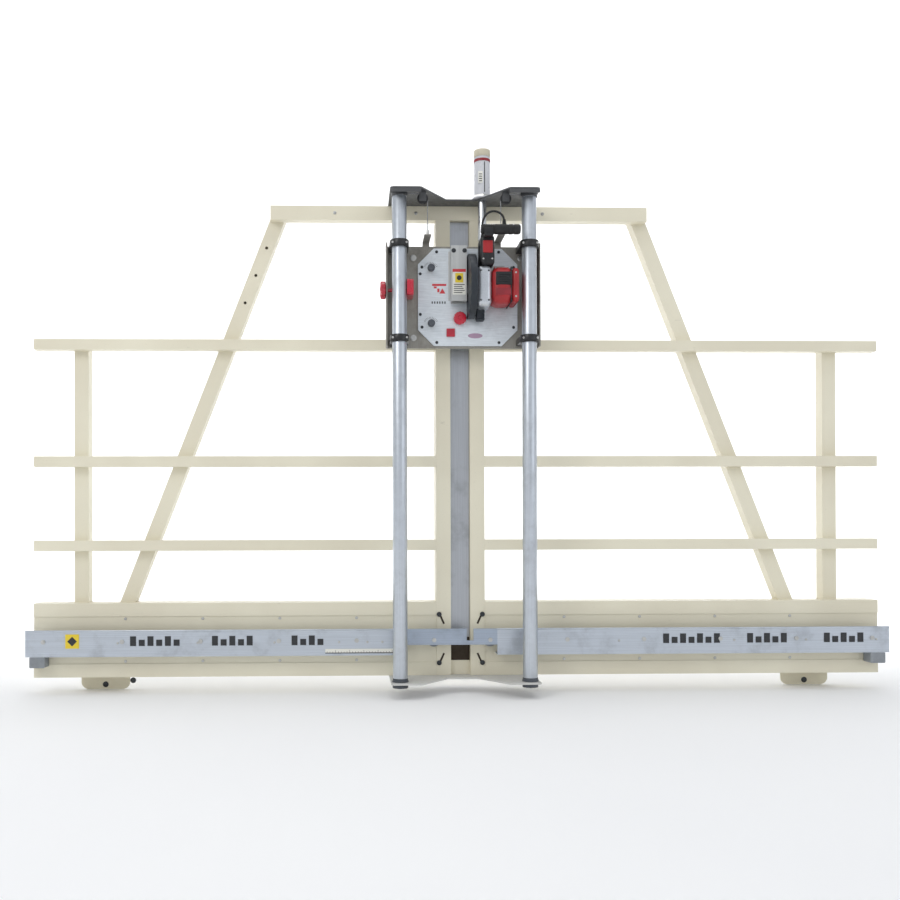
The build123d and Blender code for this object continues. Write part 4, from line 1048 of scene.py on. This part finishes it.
def build_turntable_details():
    """Screws, an arrow, small graduations and the tags of the turntable."""
    low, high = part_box("turntable_plate")
    face, lift = low.y, sizes().print_height
    corner = TABLE_CORNER
    sides, levels = (low.x + 0.014, high.x - 0.014), (low.z + corner, high.z - corner)
    spots = [(x, face, z) for x in sides for z in levels]
    sides, levels = (low.x + corner, high.x - corner), (low.z + 0.012, high.z - 0.012)
    spots += [(x, face, z) for x in sides for z in levels]
    spots += [(-0.148, face, 1.465), (-0.148, face, 1.322)]
    pans("turntable_screws", spots, 0.0052, 0.0028, "turntable", "dark_bolt")
    arrow = [decal("arrow", face, sides, ends) for sides, ends in ARROW_BARS]
    arrow.append(turned("arrow_head", (-0.070, face, 1.402), FRONT, 0.0125, [(0.0125, lift)], 3))
    united("turn_arrow", arrow, "turntable", "red_ink")
    starts = [-0.108 + i * 0.009 for i in range(6)]
    marks = [decal("mark", face, (left, left + 0.0045), (1.360, 1.368)) for left in starts]
    united("turn_marks", marks, "turntable", "ink")
    tick = decal("tick", face, (-0.0006, 0.0006), (0.0215, 0.0275))
    arcs = []
    for x, z in INDEX_PLACES:
        for turn in INDEX_SWEEP:
            angle = math.radians(turn) - math.pi / 2
            arcs.append(copied(tick, "arc_tick", (x, 0, z), angle, (0, face, 0)))
    bpy.data.objects.remove(tick)
    united("index_graduations", arcs, "turntable", "ink")
    tag = block("red_tag", (-0.056, face - 0.006, 1.243), (-0.026, face, 1.272), 0.002, 3)
    complete(tag, "turntable", "knob")
    oval = turned("mauve_label", OVAL_PLACE + Vector((0, face, 0)), FRONT, 0.010, [(0.010, lift)], 32)
    stretch = Matrix.Diagonal((2.6, 1, 0.9, 1))
    oval.data.transform(Matrix.Translation(OVAL_PLACE) @ stretch @ Matrix.Translation(-OVAL_PLACE))
    complete(oval, "turntable", "mauve")


def build_plungers():
    """Knurled index knobs on their pins."""
    for place in ("upper", "lower"):
        node = f"index_plunger_{place}"
        low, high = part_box(node)
        spot = Vector(((low.x + high.x) / 2, low.y + INDEX_KNOB_LENGTH, (low.z + high.z) / 2))
        knob = turned("index_knob", spot, FRONT, 0.0105, INDEX_KNOB, 48)
        pick_faces(knob, lambda centre, normal: abs(normal.y) < 0.1 and (centre - spot).length < 0.0165)
        bpy.ops.mesh.inset(thickness=0.0003, depth=-0.0005, use_individual=True)
        clear()
        pin_steps = [(0.005, 0.0006), (0.005, high.y - spot.y - 0.0006)]
        pin = turned("index_pin", (spot.x, high.y, spot.z), FRONT, 0.0045, pin_steps, 28)
        united(f"index_knob_{place}", [knob, pin], node, "cap", [node])


# ---------------------------------------------------------------- chute
CHUTE_LABEL = (1.382, 1.4715)
CHUTE_HEADER = 1.461
CHUTE_PATCH = (1.424, 1.457)
CHUTE_ROWS = (1.388, 1.395, 1.402, 1.409, 1.416)
CHUTE_ROW_CUTS = (0.008, 0.0, 0.004, 0.008, 0.0)


def build_chute():
    """A plain label, a coloured patch with a dot, two bolts and the chute's flange."""
    low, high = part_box("dust_chute")
    face, lift = low.y, sizes().print_height
    left, right = low.x + 0.004, high.x - 0.004
    complete(decal("chute_label", face, (left, right), CHUTE_LABEL, 2, 1, 0.0002), "turntable", "label")
    header = decal("chute_label_header", face, (left, right), (CHUTE_HEADER, CHUTE_LABEL[1]), 3, 0)
    complete(header, "turntable", "red_ink")
    patch = decal("chute_label_patch", face, (left + 0.009, right - 0.009), CHUTE_PATCH, 3, 0)
    complete(patch, "turntable", "yellow")
    dot_place = ((low.x + high.x) / 2, face - 3 * lift, sum(CHUTE_PATCH) / 2)
    dot = turned("chute_label_sign", dot_place, FRONT, 0.0085, [(0.0085, lift)], 32)
    complete(dot, "turntable", "ink")
    rows = []
    for z, cut in zip(CHUTE_ROWS, CHUTE_ROW_CUTS):
        rows.append(decal("row", face, (left + 0.004, right - 0.004 - cut), (z, z + 0.0025), 3, 0))
    united("chute_label_rows", rows, "turntable", "ink")
    hexes("chute_bolts", [(-0.034, face, 1.536), (0.004, face, 1.536)], 0.010, 0.005, "turntable")
    flange_low = (low.x - 0.007, high.y - 0.0028, low.z + 0.01)
    flange = block("chute_flange", flange_low, (low.x, high.y - 0.0002, high.z - 0.01), 0.0006)
    complete(flange, "turntable", "chute")


# ---------------------------------------------------------------- saw
MOTOR_CAP = 0.026
MOTOR_RIBS = 6
MOTOR_RIB_PITCH = 0.0115
GUARD_LEVER = ((0.044, -0.214, 1.291), (0.074, -0.186, 1.334))
LEVER_LEVEL = 1.3125
LEVER_STEM = ((0.048, -0.187, 1.296), (0.066, -0.1679, 1.312))
SAW_BRACKET = ((0.092, -0.1785, 1.468), (0.150, -0.1679, 1.492))
GUARD_SCREW_LEVELS = (1.375, 1.452)
GUARD_CURVE = 5.2
BLADE_LEVEL = 1.413
HANDLE_GRIP = 0.025
HANDLE_SOFTNESS = 0.0105
CLIP_HALF_WIDTH = 0.015
CLIP_REACH = 0.021
LOCK_KNOB_RADIUS = 0.0315
SAW_KNOB_RADIUS = 0.023
KNOB_HEIGHT = 0.020


def build_motor():
    """The motor's moulded casing: a rounded barrel, ribs, a vent panel, a rear cap and screws."""
    low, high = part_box("motor_housing")
    casing = block("motor_casing", low, (high.x - 0.018, high.y, high.z), 0.028, 7)
    cap_low = (high.x - MOTOR_CAP, low.y + 0.004, low.z + 0.004)
    cap = block("motor_cap", cap_low, (high.x, high.y - 0.002, high.z - 0.004), 0.0125, 5)
    ribs = []
    for i in range(MOTOR_RIBS):
        x = low.x + 0.010 + i * MOTOR_RIB_PITCH
        rib_low = (x, low.y + 0.022, high.z - 0.004)
        ribs.append(block("rib", rib_low, (x + 0.004, high.y - 0.02, high.z), 0.0012, 2))
    united("motor_body", [casing, cap, *ribs], "turntable", "red", ["motor_housing"])
    left, right = low.x + 0.014, high.x - MOTOR_CAP
    foot, head = low.z + 0.060, low.z + 0.106
    vents = [block("motor_vent_panel", (left, low.y - 0.0010, foot), (right, low.y + 0.012, head), 0.003, 3)]
    pitch = (head - foot - 0.006) / sizes().vent_count
    for i in range(sizes().vent_count):
        z = foot + 0.003 + i * pitch
        slat_low = (left + 0.004, low.y - 0.0030, z)
        vents.append(block("slat", slat_low, (right - 0.004, low.y + 0.004, z + pitch * 0.5), 0.0008, 2))
    united("motor_vent_panel", vents, "turntable", "black")
    band_low = (right - 0.005, low.y + 0.0018, low.z + 0.002)
    band = block("motor_band", band_low, (right - 0.001, high.y - 0.001, high.z - 0.002), 0.0019, 2)
    complete(band, "turntable", "black")
    spots = [(high.x - MOTOR_CAP / 2, low.y + 0.004, z) for z in (low.z + 0.022, high.z - 0.022)]
    pans("motor_screws", spots, 0.0034, 0.0018, "turntable")
    tag_low = (left, low.y - 0.0006, low.z + 0.026)
    tag = block("motor_plate", tag_low, (right - 0.004, low.y + 0.004, low.z + 0.050), 0.0008, 2)
    complete(tag, "turntable", "dark_red")


def build_gear_case():
    """The die-cast gear case with its ribs and cover screws, the guard's lever and a bracket."""
    low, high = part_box("gear_case")
    shapes = [block("gear_shell", low, high, 0.017, 6)]
    for share in (0.30, 0.5, 0.70):
        x = low.x + (high.x - low.x) * share
        rib_low = (x - 0.0016, low.y + 0.0002, low.z + 0.026)
        shapes.append(block("rib", rib_low, (x + 0.0016, low.y + 0.006, high.z - 0.026), 0.0011, 2))
    united("gear_case_casting", shapes, "turntable", "cast", ["gear_case"])
    levels = (low.z + 0.019, high.z - 0.019)
    spots = [(x, low.y + 0.0018, z) for x in (low.x + 0.013, high.x - 0.011) for z in levels]
    pans("gear_case_screws", spots, 0.0036, 0.0022, "turntable", "dark_bolt")
    lever = block("guard_lever", *GUARD_LEVER, 0.006, 4)
    pick_faces(lever, lambda centre, normal: normal.y < -0.9 and abs(centre.z - LEVER_LEVEL) < 0.01)
    bpy.ops.mesh.inset(thickness=0.004, depth=-0.003)
    clear()
    stem = block("guard_lever_stem", *LEVER_STEM, 0.0015, 2)
    united("guard_lever", [lever, stem], "turntable", "guard")
    bracket = block("saw_bracket", *SAW_BRACKET, 0.003, 3)
    pick_faces(bracket, lambda centre, normal: normal.y < -0.9)
    bpy.ops.mesh.inset(thickness=0.004, depth=-0.002)
    clear()
    complete(bracket, "turntable", "chute")


def build_guard():
    """Two cover screws on the blade's guard, set back as its rim curves away."""
    low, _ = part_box("upper_guard")
    spots = []
    for z in GUARD_SCREW_LEVELS:
        curve = abs(z - BLADE_LEVEL) ** 2 * GUARD_CURVE
        spots.append((low.x + 0.012, low.y + 0.006 + curve, z))
    pans("guard_screws", spots, 0.0034, 0.0024, "turntable")


def build_handle():
    """The handle's moulded loop, its seam, screws and switch, and the clip under the plug."""
    handle, trigger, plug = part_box("saw_handle"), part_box("saw_trigger"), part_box("saw_plug")
    left, right = handle[0].x, handle[1].x
    rear, front = handle[1].y, trigger[0].y + 0.004
    low, top = handle[0].z, plug[0].z
    clear()
    middle = (left + right) / 2
    bpy.ops.mesh.primitive_cube_add(size=1.0, location=(middle, (rear + front) / 2, (low + top) / 2))
    loop = bpy.context.object
    loop.name = "handle_loop"
    loop.scale = (right - left, rear - front, top - low)
    settle(loop)
    pick_faces(loop, lambda centre, normal: abs(normal.x) > 0.9)
    bpy.ops.mesh.inset(thickness=HANDLE_GRIP)
    bpy.ops.mesh.bridge_edge_loops()
    clear()
    only(loop)
    ease = loop.modifiers.new("soft_edges", "BEVEL")
    ease.width = HANDLE_SOFTNESS
    ease.segments = 5
    ease.limit_method = "ANGLE"
    ease.angle_limit = math.radians(40)
    bpy.ops.object.modifier_apply(modifier=ease.name)
    near, far = middle - CLIP_HALF_WIDTH, middle + CLIP_HALF_WIDTH
    clip_y = (plug[0].y + plug[1].y) / 2
    clip_front, clip_back = clip_y - CLIP_REACH, clip_y + CLIP_REACH
    clip = block("plug_clip", (near, clip_front, top - 0.011), (far, clip_back, top + 0.004), 0.0025, 3)
    arm = block("clip_arm", (near, clip_back - 0.0035, top - 0.002), (far, clip_back, top + 0.017), 0.0012, 3)
    hook = copied(arm, "clip_hook", (0, 0.0035 - 2 * CLIP_REACH, 0))
    united("handle_body", [loop, clip, arm, hook], "turntable", "black", ["saw_handle"])
    seam_low = (middle - 0.0006, front - 0.0003, low + 0.012)
    seam = block("handle_seam", seam_low, (middle + 0.0006, front + 0.001, trigger[0].z - 0.004), 0.0002, 1)
    complete(seam, "turntable", "ink")
    spots = [(x, front + 0.0004, low + 0.019) for x in (near, far)]
    pans("handle_screws", spots, 0.003, 0.0012, "turntable")
    key = block("switch_key", trigger[0], trigger[1], 0.0032, 4)
    pick_faces(key, lambda centre, normal: normal.y < -0.95)
    bpy.ops.mesh.inset(thickness=0.004, depth=-0.0012)
    bpy.ops.mesh.inset(thickness=0.0012, depth=0.0)
    clear()
    complete(key, "saw_trigger", "red", ["saw_trigger"])


def lobed_knob(name, spot, axis, radius, lobes, dip):
    """A hand knob whose rim waves, with a domed face and a recessed centre."""
    shares = ((1.0, 0.16), (1.0, 0.55), (0.9, 0.2), (0.62, 0.09), (0.36, 0.0), (0.30, -0.12))
    steps = [(radius * wide, KNOB_HEIGHT * rise) for wide, rise in shares]
    knob = turned(name, (0, 0, 0), UP, radius * 0.86, steps, 72)
    for point in knob.data.vertices:
        if math.hypot(point.co.x, point.co.y) > radius * 0.7:
            wave = 1 - dip * (0.5 - 0.5 * math.cos(lobes * math.atan2(point.co.y, point.co.x)))
            point.co.x *= wave
            point.co.y *= wave
    knob.rotation_mode = "QUATERNION"
    knob.rotation_quaternion = UP.rotation_difference(axis)
    knob.location = spot
    settle(knob)
    return knob


def build_knobs():
    """The carriage lock's star knob and the saw's round red knob."""
    low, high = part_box("lock_knob")
    y, z = (low.y + high.y) / 2, (low.z + high.z) / 2
    knob = lobed_knob("lock_star", (low.x + KNOB_HEIGHT, y, z), -RIGHT, LOCK_KNOB_RADIUS, 6, 0.24)
    screw_steps = [(0.006, high.x - low.x - 0.019), (0.005, 0.001)]
    screw = turned("lock_screw", (low.x + 0.018, y, z), RIGHT, 0.006, screw_steps, 28)
    boss = turned("lock_boss", (low.x + 0.0195, y, z), RIGHT, 0.012, [(0.010, 0.0007)], 28)
    united("lock_knob_moulding", [knob, boss, screw], "lock_knob", "knob", ["lock_knob"])
    low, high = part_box("saw_knob")
    x, y, z = (low.x + high.x) / 2, low.y + KNOB_HEIGHT, (low.z + high.z) / 2
    knob = lobed_knob("saw_knob_face", (x, y, z), FRONT, SAW_KNOB_RADIUS, 12, 0.035)
    stud = turned("saw_knob_stud", (x, high.y, z), FRONT, 0.005, [(0.005, high.y - y + 0.004)], 24)
    united("saw_knob_moulding", [knob, stud], "saw_knob", "knob", ["saw_knob"])


# ---------------------------------------------------------------- operators
class PANELSAW_OT_stage(bpy.types.Operator):
    """Add the floor, the lights and the camera"""

    bl_idname = "panel_saw.stage"
    bl_label = "Stage"

    def execute(self, context):
        build_stage()
        return {"FINISHED"}


class PANELSAW_OT_coupler(bpy.types.Operator):
    """Add the lead's plug and connector"""

    bl_idname = "panel_saw.coupler"
    bl_label = "Plug and connector"

    def execute(self, context):
        build_coupler()
        return {"FINISHED"}


class PANELSAW_OT_lead(bpy.types.Operator):
    """Add the looped lead of the saw"""

    bl_idname = "panel_saw.lead"
    bl_label = "Saw lead"

    def execute(self, context):
        build_lead()
        return {"FINISHED"}


class PANELSAW_OT_ropes(bpy.types.Operator):
    """Add the wire ropes over their pulleys"""

    bl_idname = "panel_saw.ropes"
    bl_label = "Lift ropes"

    def execute(self, context):
        build_ropes()
        return {"FINISHED"}


class PANELSAW_OT_nodes(bpy.types.Operator):
    """Finish the nodes that keep their shape"""

    bl_idname = "panel_saw.nodes"
    bl_label = "CAD finishes"

    def execute(self, context):
        dress_nodes()
        return {"FINISHED"}


class PANELSAW_OT_fence_marks(bpy.types.Operator):
    """Add the graduations, rivets and scale of the fence"""

    bl_idname = "panel_saw.fence_marks"
    bl_label = "Fence marks"

    def execute(self, context):
        build_fence_marks()
        return {"FINISHED"}


class PANELSAW_OT_base_details(bpy.types.Operator):
    """Add the painted-shade slots and mouth, the washers, end caps and welds of the frame"""

    bl_idname = "panel_saw.base_details"
    bl_label = "Base details"

    def execute(self, context):
        build_base_details()
        build_end_caps()
        build_welds()
        return {"FINISHED"}


class PANELSAW_OT_hardware(bpy.types.Operator):
    """Add the frame's bolt heads, collars, rims and lips"""

    bl_idname = "panel_saw.hardware"
    bl_label = "Frame hardware"

    def execute(self, context):
        build_frame_hardware()
        return {"FINISHED"}


class PANELSAW_OT_stop(bpy.types.Operator):
    """Add the ring, seam, label and nut of the upper stop"""

    bl_idname = "panel_saw.stop"
    bl_label = "Upper stop"

    def execute(self, context):
        build_stop()
        return {"FINISHED"}


class PANELSAW_OT_bearings(bpy.types.Operator):
    """Add the screws and wipers of the bearings"""

    bl_idname = "panel_saw.bearings"
    bl_label = "Bearings"

    def execute(self, context):
        build_bearings()
        return {"FINISHED"}


class PANELSAW_OT_carriage(bpy.types.Operator):
    """Add the screws and pads of the carriage"""

    bl_idname = "panel_saw.carriage"
    bl_label = "Carriage"

    def execute(self, context):
        build_carriage_details()
        return {"FINISHED"}


class PANELSAW_OT_turntable(bpy.types.Operator):
    """Add the screws, marks and tags of the turntable"""

    bl_idname = "panel_saw.turntable"
    bl_label = "Turntable"

    def execute(self, context):
        build_turntable_details()
        return {"FINISHED"}


class PANELSAW_OT_plungers(bpy.types.Operator):
    """Add the knurled index knobs"""

    bl_idname = "panel_saw.plungers"
    bl_label = "Index plungers"

    def execute(self, context):
        build_plungers()
        return {"FINISHED"}


class PANELSAW_OT_chute(bpy.types.Operator):
    """Add the label, bolts and flange of the chute"""

    bl_idname = "panel_saw.chute"
    bl_label = "Chute"

    def execute(self, context):
        build_chute()
        return {"FINISHED"}


class PANELSAW_OT_motor(bpy.types.Operator):
    """Add the motor's casing"""

    bl_idname = "panel_saw.motor"
    bl_label = "Motor"

    def execute(self, context):
        build_motor()
        return {"FINISHED"}


class PANELSAW_OT_gear_case(bpy.types.Operator):
    """Add the gear case and its lever"""

    bl_idname = "panel_saw.gear_case"
    bl_label = "Gear case"

    def execute(self, context):
        build_gear_case()
        return {"FINISHED"}


class PANELSAW_OT_guard(bpy.types.Operator):
    """Add the screws of the blade's guard"""

    bl_idname = "panel_saw.guard"
    bl_label = "Guard"

    def execute(self, context):
        build_guard()
        return {"FINISHED"}


class PANELSAW_OT_handle(bpy.types.Operator):
    """Add the handle and its switch"""

    bl_idname = "panel_saw.handle"
    bl_label = "Handle"

    def execute(self, context):
        build_handle()
        return {"FINISHED"}


class PANELSAW_OT_knobs(bpy.types.Operator):
    """Add the lock's and the saw's knobs"""

    bl_idname = "panel_saw.knobs"
    bl_label = "Knobs"

    def execute(self, context):
        build_knobs()
        return {"FINISHED"}


OPERATORS = [
    PANELSAW_OT_stage,
    PANELSAW_OT_coupler,
    PANELSAW_OT_lead,
    PANELSAW_OT_ropes,
    PANELSAW_OT_nodes,
    PANELSAW_OT_fence_marks,
    PANELSAW_OT_base_details,
    PANELSAW_OT_hardware,
    PANELSAW_OT_stop,
    PANELSAW_OT_bearings,
    PANELSAW_OT_carriage,
    PANELSAW_OT_turntable,
    PANELSAW_OT_plungers,
    PANELSAW_OT_chute,
    PANELSAW_OT_motor,
    PANELSAW_OT_gear_case,
    PANELSAW_OT_guard,
    PANELSAW_OT_handle,
    PANELSAW_OT_knobs,
]


class PANELSAW_PT_build(bpy.types.Panel):
    """Lists the build steps and the settings."""

    bl_label = "Panel Saw"
    bl_idname = "PANELSAW_PT_build"
    bl_space_type = "VIEW_3D"
    bl_region_type = "UI"
    bl_category = "Panel Saw"

    def draw(self, context):
        """Shows every setting and then every build step."""
        for group in (context.scene.panel_saw_colours, context.scene.panel_saw_sizes):
            for key in group.__annotations__:
                self.layout.prop(group, key)
        for step in OPERATORS:
            self.layout.operator(step.bl_idname)


CLASSES = [PanelSawColours, PanelSawSizes, *OPERATORS, PANELSAW_PT_build]


def register():
    """Adds the classes and the settings to Blender."""
    for item in CLASSES:
        bpy.utils.register_class(item)
    bpy.types.Scene.panel_saw_colours = PointerProperty(type=PanelSawColours)
    bpy.types.Scene.panel_saw_sizes = PointerProperty(type=PanelSawSizes)


def unregister():
    """Removes them again."""
    del bpy.types.Scene.panel_saw_sizes
    del bpy.types.Scene.panel_saw_colours
    for item in reversed(CLASSES):
        bpy.utils.unregister_class(item)


def main():
    """Registers the add-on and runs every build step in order."""
    register()
    for step in OPERATORS:
        _, name = step.bl_idname.split(".")
        getattr(bpy.ops.panel_saw, name)()


if __name__ == "__main__":
    main()
